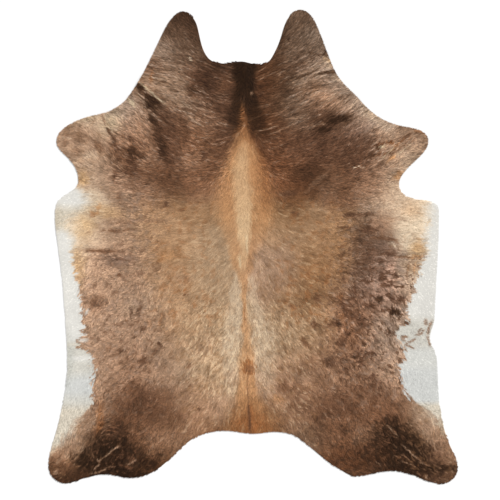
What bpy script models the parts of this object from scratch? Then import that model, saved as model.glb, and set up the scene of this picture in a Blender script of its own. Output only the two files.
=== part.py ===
"""A whole hair-on cowhide, cut along its outline and laid flat as a rug.

The hide is one sheet of even thickness. It lies flat on the floor, apart from soft folds and ripples
at the neck, shoulders, flanks and shanks, where the sheet lifts off the floor as a whole.
+Y runs towards the neck, +X to the right as seen from above, +Z is up. The origin is on the floor,
under the middle of the hide's length and width.
"""

import math

import bmesh
import bpy
import numpy as np
from mathutils import Vector
from mathutils.geometry import delaunay_2d_cdt

MM = 0.001

# Leather with its short coat lying flat on it.
THICKNESS = 3.0 * MM

# The cut edge, clockwise from the left neck prong, smooth all the way round.
# Columns: place, x mm, y mm, the way the edge runs there in degrees from +X towards +Y.
OUTLINE = (
    ("left neck prong tip", -317, 1060, 0),
    ("left neck prong, inner shoulder", -262, 1023, -58),
    ("left neck prong, inner side", -240, 952, -77),
    ("neck cut, left end", -200, 852, -48),
    ("neck cut, left dip", -126, 828, 0),
    ("neck cut, middle rise", -54, 837, 0),
    ("neck cut, right dip", 24, 823, 0),
    ("neck cut, right end", 83, 853, 60),
    ("right neck prong, inner side", 124, 943, 72),
    ("right neck prong, inner shoulder", 152, 1022, 60),
    ("right neck prong tip", 212, 1067, 0),
    ("right neck prong, outer shoulder", 270, 1028, -56),
    ("right neck prong, outer side", 302, 958, -67),
    ("right neck corner", 378, 775, -60),
    ("right shoulder", 459, 684, -46),
    ("right foreleg, root at the front", 549, 596, -37),
    ("right foreleg, front edge", 665, 544, -14),
    ("right foreleg, front of the tip", 745, 528, -20),
    ("right foreleg tip", 788, 477, -90),
    ("right foreleg, back edge", 720, 380, -134),
    ("right armpit", 656, 282, -90),
    ("right armpit, belly side", 690, 229, -27),
    ("right belly, front edge", 770, 213, -4),
    ("right belly, front corner", 836, 164, -90),
    ("right belly edge, upper", 831, -22, -93),
    ("right belly edge, lower", 816, -315, -92),
    ("right nick, upper side", 808, -356, -108),
    ("right nick", 796, -409, -90),
    ("right nick, lower side", 815, -464, -60),
    ("right flank edge", 828, -530, -87),
    ("right thigh edge", 843, -729, -80),
    ("right shank, outer side", 886, -888, -67),
    ("right hind tip", 921, -994, -90),
    ("right hind tip, end", 842, -1066, 180),
    ("right shank, back edge", 727, -1030, 160),
    ("right shank, dip", 621, -1007, 180),
    ("right hock", 459, -1032, 180),
    ("right hock, inner side", 388, -1000, 150),
    ("right buttock edge", 288, -928, 140),
    ("right buttock, inner side", 200, -857, 145),
    ("rump edge, right rise", 99, -831, 180),
    ("rump edge at the tail", 0, -840, 180),
    ("rump edge, left rise", -122, -826, 180),
    ("left buttock, inner side", -238, -847, 203),
    ("left buttock edge", -360, -941, 224),
    ("left buttock, lower side", -445, -1010, 209),
    ("left hock", -553, -1039, 180),
    ("left shank, dip", -672, -1022, 180),
    ("left shank, back edge", -743, -1035, 197),
    ("left hind tip, end", -842, -1063, 180),
    ("left hind tip", -920, -987, 90),
    ("left shank, outer side", -905, -890, 74),
    ("left thigh edge", -865, -743, 77),
    ("left flank edge", -835, -509, 90),
    ("left belly edge, lower", -845, -330, 94),
    ("left belly edge, middle", -861, -130, 97),
    ("left belly edge, upper", -882, 40, 98),
    ("left belly, widest", -891, 144, 90),
    ("left belly, front corner", -869, 217, 45),
    ("left armpit, belly side", -810, 256, 37),
    ("left armpit", -785, 300, 90),
    ("left foreleg, back edge", -829, 399, 133),
    ("left foreleg, back of the tip", -872, 443, 128),
    ("left foreleg tip", -884, 473, 90),
    ("left foreleg, front of the tip", -868, 518, 47),
    ("left foreleg, front edge", -815, 557, 29),
    ("left foreleg, root at the front", -675, 602, 13),
    ("left shoulder", -592, 644, 36),
    ("left shoulder, neck side", -554, 686, 55),
    ("left neck corner", -510, 752, 61),
    ("left neck prong, outer side", -398, 978, 64),
    ("left neck prong, outer shoulder", -360, 1035, 48),
)

# Soft folds that lift the sheet. Each crest is a curve through its start, bend and end.
# Columns: place, start x y, bend x y, end x y, rise at start, bend and end, width, all mm.
FOLDS = (
    ("left neck fold", -513, 742, -459, 697, -391, 630, 9, 12, 2, 115),
    ("left shoulder fold", -562, 666, -517, 625, -454, 567, 4, 6, 2, 64),
    ("left shoulder bulge", -375, 570, -368, 500, -382, 400, 1, 6, 1, 90),
    ("left neck wrinkle", -310, 655, -350, 720, -345, 790, 1, 4, 1, 50),
    ("right neck fold, upper", 330, 648, 366, 695, 378, 722, 2, 5, 3, 56),
    ("right neck fold, middle", 234, 585, 346, 618, 470, 668, 1, 7, 5, 90),
    ("right neck wrinkle", 130, 645, 234, 686, 300, 712, 1, 4, 1, 50),
    ("right shoulder bulge", 300, 470, 400, 500, 520, 560, 1, 5, 2, 90),
    ("left belly ripple, upper", -800, 14, -711, 16, -620, 10, 2, 4, 1, 50),
    ("left belly ripple, lower", -790, -42, -711, -40, -600, -46, 1, 3, 1, 50),
    ("right belly ripple, upper", 590, 52, 680, 50, 760, 40, 1, 4, 1, 50),
    ("right belly ripple, lower", 640, -28, 740, -62, 805, -60, 1, 4, 2, 50),
    ("left flank ripple", -690, 92, -590, 96, -480, 88, 1, 3, 1, 44),
    ("right flank ripple, upper", 400, 172, 500, 168, 590, 160, 1, 3, 1, 44),
    ("right flank ripple, lower", 440, 100, 540, 96, 640, 80, 1, 3, 1, 44),
    ("left shank wrinkle", -712, -958, -655, -915, -590, -885, 2, 5, 1, 52),
    ("right shank wrinkle", 668, -886, 736, -940, 800, -985, 1, 5, 2, 52),
)

# Longest step and widest turn between two points of the cut edge.
EDGE_STEP = 18.0 * MM
EDGE_TURN = 10.0

# Spacing of the sheet's inner points, on the flat and across the folds.
FLAT_SPACING = 60.0 * MM
FOLD_SPACING = 17.0 * MM
FOLD_STEPS = 16

HAIR_BROWN = (0.205, 0.120, 0.075, 1.0)
HAIR_ROUGHNESS = 0.75


def clear_scene():
    for thing in list(bpy.data.objects):
        bpy.data.objects.remove(thing, do_unlink=True)


def direction(degrees):
    return Vector((math.cos(math.radians(degrees)), math.sin(math.radians(degrees))))


def edge_stretch(start, end):
    """The points of the cut edge from one named place up to the next, on one smooth curve."""
    first = Vector(start[1:3]) * MM
    last = Vector(end[1:3]) * MM
    turn = (end[3] - start[3] + 180.0) % 360.0 - 180.0
    chord = (last - first).length
    # With this pull the curve between two headings is a round arc.
    pull = chord / (3.0 * math.cos(math.radians(turn) / 4.0) ** 2)
    leaving = first + direction(start[3]) * pull
    arriving = last - direction(end[3]) * pull
    count = max(2, math.ceil(chord / EDGE_STEP), math.ceil(abs(turn) / EDGE_TURN))
    points = []
    for step in range(count):
        t = step / count
        s = 1.0 - t
        points.append(first * s**3 + leaving * 3 * s * s * t + arriving * 3 * s * t * t + last * t**3)
    return points


def cut_edge():
    """The whole cut edge as an array of points, centred on its own length and width."""
    points = []
    for start, end in zip(OUTLINE, OUTLINE[1:] + OUTLINE[:1]):
        points += edge_stretch(start, end)
    edge = np.array([tuple(point) for point in points])
    return edge - (edge.min(axis=0) + edge.max(axis=0)) / 2.0


def crest(fold):
    """Points along a fold's crest with the rise at each, in metres."""
    start, bend, end = (np.array(fold[i : i + 2]) * MM for i in (1, 3, 5))
    rises = np.array(fold[7:10]) * MM
    t = np.linspace(0.0, 1.0, FOLD_STEPS + 1)[:, None]
    # The middle control point is placed so that the curve runs through the bend.
    middle = 2.0 * bend - (start + end) / 2.0
    line = (1 - t) ** 2 * start + 2 * t * (1 - t) * middle + t**2 * end
    return line, np.interp(t[:, 0], (0.0, 0.5, 1.0), rises)


def lift(points):
    """How far the sheet is lifted off the floor at each point."""
    total = np.zeros(len(points))
    for fold in FOLDS:
        line, rises = crest(fold)
        gaps = np.linalg.norm(points[:, None, :] - line[None, :, :], axis=2)
        nearest = gaps.argmin(axis=1)
        across = np.clip(gaps.min(axis=1) / (fold[10] * MM / 2.0), 0.0, 1.0)
        total = np.maximum(total, rises[nearest] * np.cos(across * math.pi / 2.0) ** 2)
    return total


def inside(points, edge):
    """Which points lie within the cut edge."""
    result = np.zeros(len(points), dtype=bool)
    for (x0, y0), (x1, y1) in zip(edge, np.roll(edge, -1, axis=0)):
        crosses = (y0 > points[:, 1]) != (y1 > points[:, 1])
        if y0 != y1:
            at = x0 + (points[:, 1] - y0) * (x1 - x0) / (y1 - y0)
            result ^= crosses & (points[:, 0] < at)
    return result


def staggered_grid(edge, spacing):
    """Rows of points over the hide's box, each row shifted by half a step from the last."""
    low = edge.min(axis=0)
    high = edge.max(axis=0)
    points = []
    row_height = spacing * math.sqrt(3.0) / 2.0
    for row in range(math.ceil((high[1] - low[1]) / row_height)):
        y = low[1] + row * row_height
        shift = spacing / 2.0 * (row % 2)
        for column in range(math.ceil((high[0] - low[0]) / spacing)):
            points.append((low[0] + shift + column * spacing, y))
    return np.array(points)


def inner_points(edge):
    """Points inside the sheet: sparse where it lies flat, close together on the folds."""
    kept = []
    for spacing, on_folds in ((FLAT_SPACING, False), (FOLD_SPACING, True)):
        points = staggered_grid(edge, spacing)
        points = points[inside(points, edge)]
        points = points[(lift(points) > 0.0) == on_folds]
        clear_of_edge = np.linalg.norm(points[:, None, :] - edge[None, :, :], axis=2).min(axis=1)
        kept.append(points[clear_of_edge > spacing / 2.0])
    return np.vstack(kept)


def hide_mesh():
    """The closed sheet: top, underside and the rim between them."""
    edge = cut_edge()
    flat = [Vector(point) for point in np.vstack((edge, inner_points(edge)))]
    loop = list(range(len(edge)))
    # Output type 1 keeps only the triangles within the loop.
    corners, _, triangles, _, _, _ = delaunay_2d_cdt(flat, [], [loop], 1, 1e-7)
    rises = lift(np.array([tuple(corner) for corner in corners]))

    bm = bmesh.new()
    under = [bm.verts.new((c.x, c.y, z)) for c, z in zip(corners, rises)]
    top = [bm.verts.new((c.x, c.y, z + THICKNESS)) for c, z in zip(corners, rises)]
    sides = set()
    for triangle in triangles:
        bm.faces.new([top[i] for i in triangle])
        bm.faces.new([under[i] for i in reversed(triangle)])
        sides.update(zip(triangle, triangle[1:] + triangle[:1]))
    for i, j in sorted(sides):
        if (j, i) not in sides:
            bm.faces.new((under[i], under[j], top[j], top[i]))
    mesh = bpy.data.meshes.new("hide")
    bm.to_mesh(mesh)
    bm.free()
    return mesh


def hair_material():
    material = bpy.data.materials.new("brown_coat")
    material.use_nodes = True
    shader = material.node_tree.nodes["Principled BSDF"]
    shader.inputs["Base Color"].default_value = HAIR_BROWN
    shader.inputs["Roughness"].default_value = HAIR_ROUGHNESS
    shader.inputs["Metallic"].default_value = 0.0
    return material


def build():
    clear_scene()
    hide = bpy.data.objects.new("hide", hide_mesh())
    bpy.context.scene.collection.objects.link(hide)
    hide.data.materials.append(hair_material())


build()
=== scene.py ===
"""Cowhide rug: skin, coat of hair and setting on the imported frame."""

import math
from types import SimpleNamespace

import bpy
import numpy as np
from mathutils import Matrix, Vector
from mathutils.bvhtree import BVHTree
from mathutils.geometry import delaunay_2d_cdt


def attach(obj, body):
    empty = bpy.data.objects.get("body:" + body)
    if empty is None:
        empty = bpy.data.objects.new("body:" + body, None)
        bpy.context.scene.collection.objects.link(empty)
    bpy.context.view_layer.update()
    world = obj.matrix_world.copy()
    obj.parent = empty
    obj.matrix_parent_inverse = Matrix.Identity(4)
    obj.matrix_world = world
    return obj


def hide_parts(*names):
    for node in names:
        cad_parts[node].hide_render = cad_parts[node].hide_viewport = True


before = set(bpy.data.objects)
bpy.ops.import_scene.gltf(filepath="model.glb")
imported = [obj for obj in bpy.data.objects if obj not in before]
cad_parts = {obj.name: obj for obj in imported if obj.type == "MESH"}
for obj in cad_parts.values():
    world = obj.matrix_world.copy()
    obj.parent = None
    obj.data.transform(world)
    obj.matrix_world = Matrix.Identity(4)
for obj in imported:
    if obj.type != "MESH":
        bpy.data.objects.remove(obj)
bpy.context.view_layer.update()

MM = 1000.0

# Skin, in mm, as shares of the spacing and as the least upward part of a normal
CAD_THICKNESS = 3.0
SKIN_THICKNESS = 2.0
SKIN_INSET = 1.5
RIM_STEP = 6.0
TOP_SPACING = 10.0
UNDERSIDE_SPACING = 16.0
ROW_SHARE = 0.866
RIM_SHARE = 0.6
TOP_SLOPE = 0.4
FIELD_CELL = 5.0
FIELD_EDGE = 40.0
PROBE_HEIGHT = 100.0
LEATHER_SINK = 0.8

# Coat, in mm, as 0 to 255 display values and as shares
BACK_LINE = -32.0
LIE_REACH = 60.0
MARK_REACH = 2.4
WHITE_FROM = 165.0
WHITE_RANGE = 45.0
COAT_GAIN = 0.87
CALM_SHARE = 0.90
SLEEK_SHARE = 0.55

# Locks of hair, in mm and as shares of a lock
LOCK_SPACING = 4.72
LOCK_JITTER = 0.42
LOCK_MARGIN = 2.5
LOCK_SETS = 4
LOCK_LENGTH = 14.0
SHORTEST_LOCK = 5.0
LOCK_HALF_WIDTH = 2.5
LOCK_BEND = 0.42
LOCK_SWAY = 0.9
TIP_HEIGHT = 1.9
ROOT_SINK = 0.4
OVERHANG = 2.2

# Setting, in metres, degrees and millimetres of film
WORLD_LIGHT = 0.98
KEY_LIGHT = 3.65
KEY_PLACE = (2.0, 2.4, 2.2)
KEY_SIZE = 12.0
FLOOR_SIZE = 14.0
FLOOR_GAP = 0.0003
CAMERA_LENS = 85.0
CAMERA_FILM = 36.0
CAMERA_X = -0.01395
CAMERA_Y = -0.0135
PICTURE_WIDTH = 2.25
COAT_MIDDLE = 0.004

# Coat colours as 0 to 255 display values
PALETTE = {
    "mane": (43, 29, 19), "umber": (66, 46, 33), "brown": (94, 67, 51), "sable": (66, 44, 29),
    "auburn": (98, 65, 44), "smoke brown": (108, 86, 70), "plum brown": (114, 90, 76),
    "plum taupe": (146, 116, 98), "warm brown": (116, 82, 60), "chestnut": (141, 107, 83),
    "taupe": (163, 131, 106), "pale taupe": (186, 159, 133), "smoke taupe": (152, 130, 112),
    "dark ochre": (140, 104, 72), "ochre": (173, 136, 102), "grey ochre": (175, 145, 114),
    "rose taupe": (183, 156, 137), "ginger": (184, 134, 90), "russet": (145, 92, 54),
    "fawn": (207, 176, 139), "straw": (204, 172, 133), "sand": (202, 181, 148), "beige": (194, 172, 145),
    "cream": (220, 198, 170), "gold": (200, 156, 104), "ivory": (212, 209, 202),
    "shade white": (196, 196, 192), "grey white": (201, 200, 194), "warm white": (206, 197, 182),
    "bone": (190, 177, 155), "warm bone": (188, 164, 139), "linen": (200, 190, 173),
    "chalk": (198, 194, 184), "neck tan": (150, 121, 98), "ash": (184, 164, 148), "stone": (187, 186, 177),
}

# All places in the tables are in mm on the flat hide: x to the right, y towards the neck.

# Broad areas: x, y, reach across, reach along, colour, depth, mottle
AREAS = {
    "left prong": [
        (-290, 1010, 60, 60, "umber", 0.96, 0.8), (-300, 920, 70, 60, "smoke brown", 1.1, 0.8),
        (-340, 850, 65, 50, "smoke brown", 0.99, 0.9), (-400, 868, 30, 32, "smoke taupe", 1.16, 0.9)],
    "right prong": [
        (190, 980, 60, 80, "smoke brown", 0.97, 0.9), (240, 860, 70, 60, "smoke brown", 1.01, 0.8),
        (270, 930, 35, 35, "smoke taupe", 0.92, 0.9)],
    "left neck and withers": [
        (-150, 760, 70, 70, "brown", 0.99, 0.7), (-150, 825, 50, 40, "sable", 0.66, 0.8),
        (-270, 750, 60, 70, "brown", 1.14, 1.1), (-440, 780, 60, 60, "chestnut", 0.98, 1.0),
        (-390, 710, 50, 50, "chestnut", 0.81, 0.9), (-280, 630, 60, 60, "smoke brown", 1.05, 1.3),
        (-140, 600, 50, 80, "brown", 0.95, 1.1), (-215, 575, 40, 35, "chestnut", 1.22, 1.1)],
    "right neck": [
        (80, 760, 60, 80, "auburn", 0.87, 0.8), (190, 780, 60, 60, "smoke brown", 0.9, 1.2),
        (290, 700, 60, 50, "chestnut", 1.08, 1.0), (285, 805, 40, 30, "smoke taupe", 1.32, 1.0),
        (400, 740, 60, 50, "smoke taupe", 0.91, 1.0), (150, 640, 60, 50, "smoke brown", 0.9, 1.2),
        (370, 645, 45, 32, "chestnut", 1.26, 1.1), (460, 660, 60, 50, "smoke taupe", 1.0, 1.2)],
    "left shoulder and foreleg": [
        (-580, 610, 60, 50, "smoke taupe", 1.05, 0.9), (-550, 530, 60, 50, "chestnut", 1.16, 0.8),
        (-690, 550, 60, 40, "pale taupe", 1.11, 1.2), (-860, 480, 60, 60, "taupe", 0.97, 1.4),
        (-760, 440, 60, 60, "taupe", 0.98, 1.4), (-760, 320, 50, 40, "pale taupe", 1.03, 1.0),
        (-390, 430, 40, 80, "brown", 0.98, 1.0), (-540, 400, 60, 50, "warm brown", 0.98, 0.9),
        (-470, 395, 35, 45, "chestnut", 1.12, 0.8)],
    "left upper back": [
        (-355, 535, 30, 60, "brown", 0.98, 1.0), (-280, 500, 60, 80, "warm brown", 1.11, 1.2),
        (-190, 420, 60, 60, "warm brown", 0.93, 1.2), (-275, 392, 40, 32, "chestnut", 1.11, 0.9)],
    "right withers and upper back": [
        (60, 540, 60, 80, "auburn", 0.98, 1.0), (215, 585, 40, 32, "smoke brown", 1.18, 1.1),
        (150, 450, 60, 70, "brown", 1.12, 0.7)],
    "right shoulder and foreleg": [
        (340, 560, 80, 50, "brown", 0.93, 0.9), (320, 430, 90, 60, "brown", 1.04, 0.6),
        (470, 530, 50, 50, "plum brown", 1.18, 0.8), (450, 580, 35, 30, "taupe", 1.07, 1.0),
        (460, 420, 60, 50, "brown", 1.13, 0.8), (560, 570, 50, 40, "smoke taupe", 1.2, 0.9),
        (690, 480, 90, 50, "taupe", 0.97, 1.5), (620, 380, 50, 40, "taupe", 0.98, 1.5),
        (690, 395, 32, 30, "pale taupe", 1.02, 0.7), (650, 290, 40, 35, "pale taupe", 1.0, 0.8)],
    "left chest and high flank": [
        (-650, 290, 60, 50, "taupe", 0.98, 1.0), (-720, 180, 60, 50, "cream", 0.89, 0.5),
        (-800, 70, 60, 90, "cream", 1.0, 0.3), (-530, 240, 60, 50, "chestnut", 1.07, 1.0),
        (-370, 280, 60, 60, "warm brown", 0.85, 0.9)],
    "left back, high": [
        (-230, 300, 60, 60, "warm brown", 1.17, 0.9), (-195, 150, 45, 32, "dark ochre", 1.01, 0.8),
        (-330, 150, 40, 30, "dark ochre", 0.94, 0.8)],
    "right back, high": [
        (130, 340, 60, 60, "auburn", 1.42, 0.8), (240, 310, 60, 50, "auburn", 0.75, 0.8),
        (330, 268, 35, 32, "chestnut", 0.92, 0.8), (130, 250, 50, 40, "auburn", 1.1, 0.8)],
    "right chest and high flank": [
        (390, 290, 70, 60, "warm brown", 0.94, 0.9), (510, 280, 60, 50, "chestnut", 1.14, 1.0),
        (575, 95, 35, 35, "chestnut", 1.31, 1.0), (610, 190, 60, 50, "pale taupe", 1.05, 0.8),
        (745, 110, 60, 80, "cream", 1.02, 0.4)],
    "left flank and back": [
        (-600, 90, 70, 60, "taupe", 1.02, 0.7), (-450, 110, 80, 60, "ochre", 0.99, 0.8),
        (-320, 50, 80, 90, "ochre", 1.01, 0.7), (-190, 0, 60, 110, "grey ochre", 0.9, 0.7)],
    "right back and flank": [
        (120, 150, 60, 60, "dark ochre", 0.9, 0.9), (95, 70, 45, 36, "ochre", 0.98, 0.8),
        (270, 70, 80, 70, "ochre", 0.87, 0.8), (390, 10, 70, 90, "dark ochre", 1.21, 0.8),
        (520, 30, 60, 70, "plum brown", 0.8, 1.0), (728, 10, 42, 50, "cream", 0.88, 0.7)],
    "left flank and back, low": [
        (-690, -60, 60, 60, "taupe", 1.25, 0.8), (-550, -110, 70, 80, "taupe", 1.03, 0.7),
        (-505, -260, 40, 40, "pale taupe", 1.08, 0.8), (-385, -120, 80, 90, "ochre", 1.0, 0.8),
        (-385, -32, 38, 32, "ginger", 0.73, 0.7), (-200, -160, 70, 90, "grey ochre", 0.95, 0.7)],
    "right back and flank, low": [
        (100, -110, 70, 90, "taupe", 1.0, 0.9), (205, -210, 70, 70, "dark ochre", 0.92, 1.1),
        (310, -110, 70, 80, "dark ochre", 1.04, 1.1), (490, -140, 70, 90, "plum brown", 1.04, 1.3),
        (610, -150, 60, 70, "plum taupe", 1.35, 1.6), (700, -140, 40, 80, "pale taupe", 0.97, 1.3),
        (730, -85, 35, 35, "cream", 1.0, 0.6)],
    "left flank and rump": [
        (-700, -250, 50, 50, "taupe", 1.18, 0.8), (-620, -380, 80, 90, "taupe", 1.05, 0.9),
        (-480, -340, 70, 80, "taupe", 1.03, 0.9), (-330, -330, 80, 90, "ochre", 0.95, 1.1),
        (-200, -370, 70, 100, "grey ochre", 0.98, 1.3)],
    "right rump and flank": [
        (160, -390, 70, 90, "grey ochre", 0.99, 1.4), (290, -370, 70, 90, "ochre", 0.91, 1.6),
        (450, -370, 70, 100, "warm brown", 1.26, 1.8), (590, -420, 60, 90, "smoke taupe", 1.19, 1.7)],
    "left thigh and rump": [
        (-670, -560, 50, 80, "taupe", 1.01, 0.7), (-690, -632, 32, 34, "taupe", 1.18, 0.7),
        (-550, -540, 70, 70, "chestnut", 1.2, 0.8), (-405, -525, 80, 80, "taupe", 0.96, 1.0),
        (-205, -560, 70, 90, "grey ochre", 1.07, 1.5), (-290, -575, 35, 40, "taupe", 0.78, 1.3)],
    "right rump and thigh": [
        (180, -580, 70, 80, "chestnut", 1.05, 1.4), (320, -560, 70, 80, "chestnut", 1.04, 1.5),
        (480, -560, 80, 70, "chestnut", 0.99, 1.2), (620, -570, 50, 70, "taupe", 1.14, 1.1)],
    "left hock and seat": [
        (-620, -730, 60, 60, "warm brown", 0.94, 0.8), (-712, -735, 40, 60, "taupe", 1.07, 0.9),
        (-500, -690, 60, 50, "brown", 1.22, 0.9), (-380, -720, 70, 60, "warm brown", 0.95, 1.1),
        (-395, -765, 34, 30, "warm brown", 0.74, 0.9), (-230, -730, 70, 60, "chestnut", 1.12, 1.0),
        (-150, -740, 38, 38, "taupe", 1.04, 0.9)],
    "right seat, tail and hock": [
        (190, -750, 60, 70, "chestnut", 1.03, 1.0), (300, -750, 60, 70, "warm brown", 0.98, 1.0),
        (-30, -810, 110, 55, "russet", 0.62, 0.9), (450, -720, 80, 70, "warm brown", 1.02, 0.9),
        (590, -700, 60, 60, "warm brown", 1.02, 0.9), (600, -765, 40, 30, "warm brown", 1.36, 0.9),
        (690, -740, 40, 50, "chestnut", 0.92, 0.9), (750, -755, 30, 40, "pale taupe", 0.97, 0.9)],
    "left shank and buttock": [
        (-790, -850, 45, 60, "taupe", 1.01, 1.0), (-670, -900, 60, 70, "sable", 0.71, 1.0),
        (-850, -1020, 60, 40, "auburn", 0.65, 0.8), (-860, -950, 40, 40, "chestnut", 1.08, 0.8),
        (-480, -830, 70, 50, "warm brown", 0.98, 0.8), (-380, -850, 60, 50, "chestnut", 0.96, 0.8),
        (-450, -885, 35, 35, "chestnut", 1.1, 0.9), (-570, -970, 60, 50, "sable", 0.64, 1.0),
        (-450, -960, 50, 50, "sable", 1.3, 1.1)],
    "right buttock and shank": [
        (250, -850, 60, 50, "smoke brown", 1.0, 0.9), (370, -850, 70, 60, "warm brown", 1.04, 0.8),
        (420, -940, 60, 50, "auburn", 1.04, 0.9), (490, -840, 40, 40, "chestnut", 0.99, 0.8),
        (540, -950, 60, 50, "sable", 1.04, 0.8), (650, -890, 60, 70, "sable", 0.89, 1.0),
        (740, -950, 60, 50, "sable", 0.68, 1.2), (810, -850, 40, 50, "taupe", 1.04, 1.0),
        (850, -900, 30, 45, "chestnut", 0.99, 0.6), (870, -900, 35, 60, "chestnut", 0.95, 0.8),
        (850, -1030, 60, 40, "brown", 0.84, 1.0)],
}

# Bands down the back, with both edges at each height: y, left x, right x, softness, strength
BANDS = {
    "dark mane": ("mane", [
        (850, -82, 10, 10, 0.97), (790, -88, 14, 12, 0.97), (700, -84, 4, 14, 0.92), (650, -95, 22, 20, 0.8),
        (600, -108, 50, 26, 0.68), (550, -105, 52, 28, 0.6), (510, -85, 60, 30, 0.35),
        (470, -70, 50, 30, 0.0)]),
    "ginger back": ("ginger", [
        (665, -44, -38, 6, 0.0), (640, -48, -34, 9, 0.2), (600, -52, -32, 12, 0.18),
        (550, -60, -26, 15, 0.24), (500, -72, -14, 22, 0.72), (450, -88, 4, 30, 0.9),
        (400, -112, 30, 40, 0.9), (350, -132, 52, 46, 0.88), (300, -155, 66, 48, 0.82),
        (250, -165, 80, 48, 0.78), (200, -165, 88, 46, 0.75), (150, -155, 95, 44, 0.75),
        (100, -145, 80, 32, 0.65), (50, -130, 50, 30, 0.55), (0, -106, 25, 24, 0.6),
        (-50, -102, 8, 18, 0.65), (-100, -92, -6, 14, 0.55), (-150, -64, -18, 9, 0.6),
        (-200, -58, -20, 8, 0.6), (-250, -52, -25, 7, 0.65), (-300, -50, -27, 6, 0.75),
        (-350, -50, -15, 7, 0.6), (-420, -50, -6, 9, 0.6), (-500, -58, 0, 11, 0.6), (-560, -64, 5, 14, 0.75),
        (-620, -68, 14, 16, 0.8), (-700, -72, 40, 22, 0.7), (-750, -90, 72, 28, 0.55),
        (-800, -120, 105, 32, 0.35), (-850, -150, 130, 34, 0.25)]),
    "ginger glow": ("russet", [
        (640, -52, -32, 10, 0.0), (600, -54, -30, 12, 0.36), (540, -66, -18, 18, 0.42),
        (500, -80, 0, 22, 0.2), (460, 0, 22, 16, 0.2), (420, 14, 50, 18, 0.4), (350, 24, 68, 20, 0.42),
        (270, 30, 80, 20, 0.42), (200, 34, 80, 18, 0.3), (150, 36, 76, 18, 0.1), (110, 40, 70, 18, 0.0)]),
    "pale core": ("straw", [
        (490, -50, -34, 14, 0.0), (450, -62, -26, 20, 0.4), (400, -76, -24, 24, 0.6),
        (350, -92, -18, 26, 0.62), (300, -90, -12, 24, 0.62), (250, -86, -8, 22, 0.64),
        (200, -80, -6, 18, 0.72), (150, -77, -6, 15, 0.8), (100, -75, -8, 12, 0.9), (50, -72, -12, 10, 0.82),
        (0, -56, -14, 9, 0.62), (-50, -68, -28, 8, 0.52), (-100, -60, -30, 7, 0.2),
        (-130, -55, -35, 7, 0.0)]),
    "left cream band": ("beige", [
        (-90, -92, -74, 6, 0.0), (-130, -94, -68, 8, 0.5), (-200, -106, -56, 10, 0.7),
        (-300, -118, -52, 14, 0.72), (-400, -140, -56, 22, 0.78), (-500, -135, -72, 22, 0.68),
        (-600, -130, -80, 22, 0.5), (-660, -128, -84, 22, 0.3), (-710, -120, -80, 22, 0.0)]),
    "right cream band": ("beige", [
        (-110, -18, -2, 7, 0.0), (-150, -20, 6, 8, 0.45), (-200, -18, 16, 12, 0.5), (-300, -24, 46, 18, 0.6),
        (-400, -4, 105, 28, 0.7), (-500, 6, 92, 28, 0.6), (-560, 10, 95, 28, 0.5), (-650, 25, 95, 26, 0.3),
        (-710, 30, 90, 24, 0.0)]),
}

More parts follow.
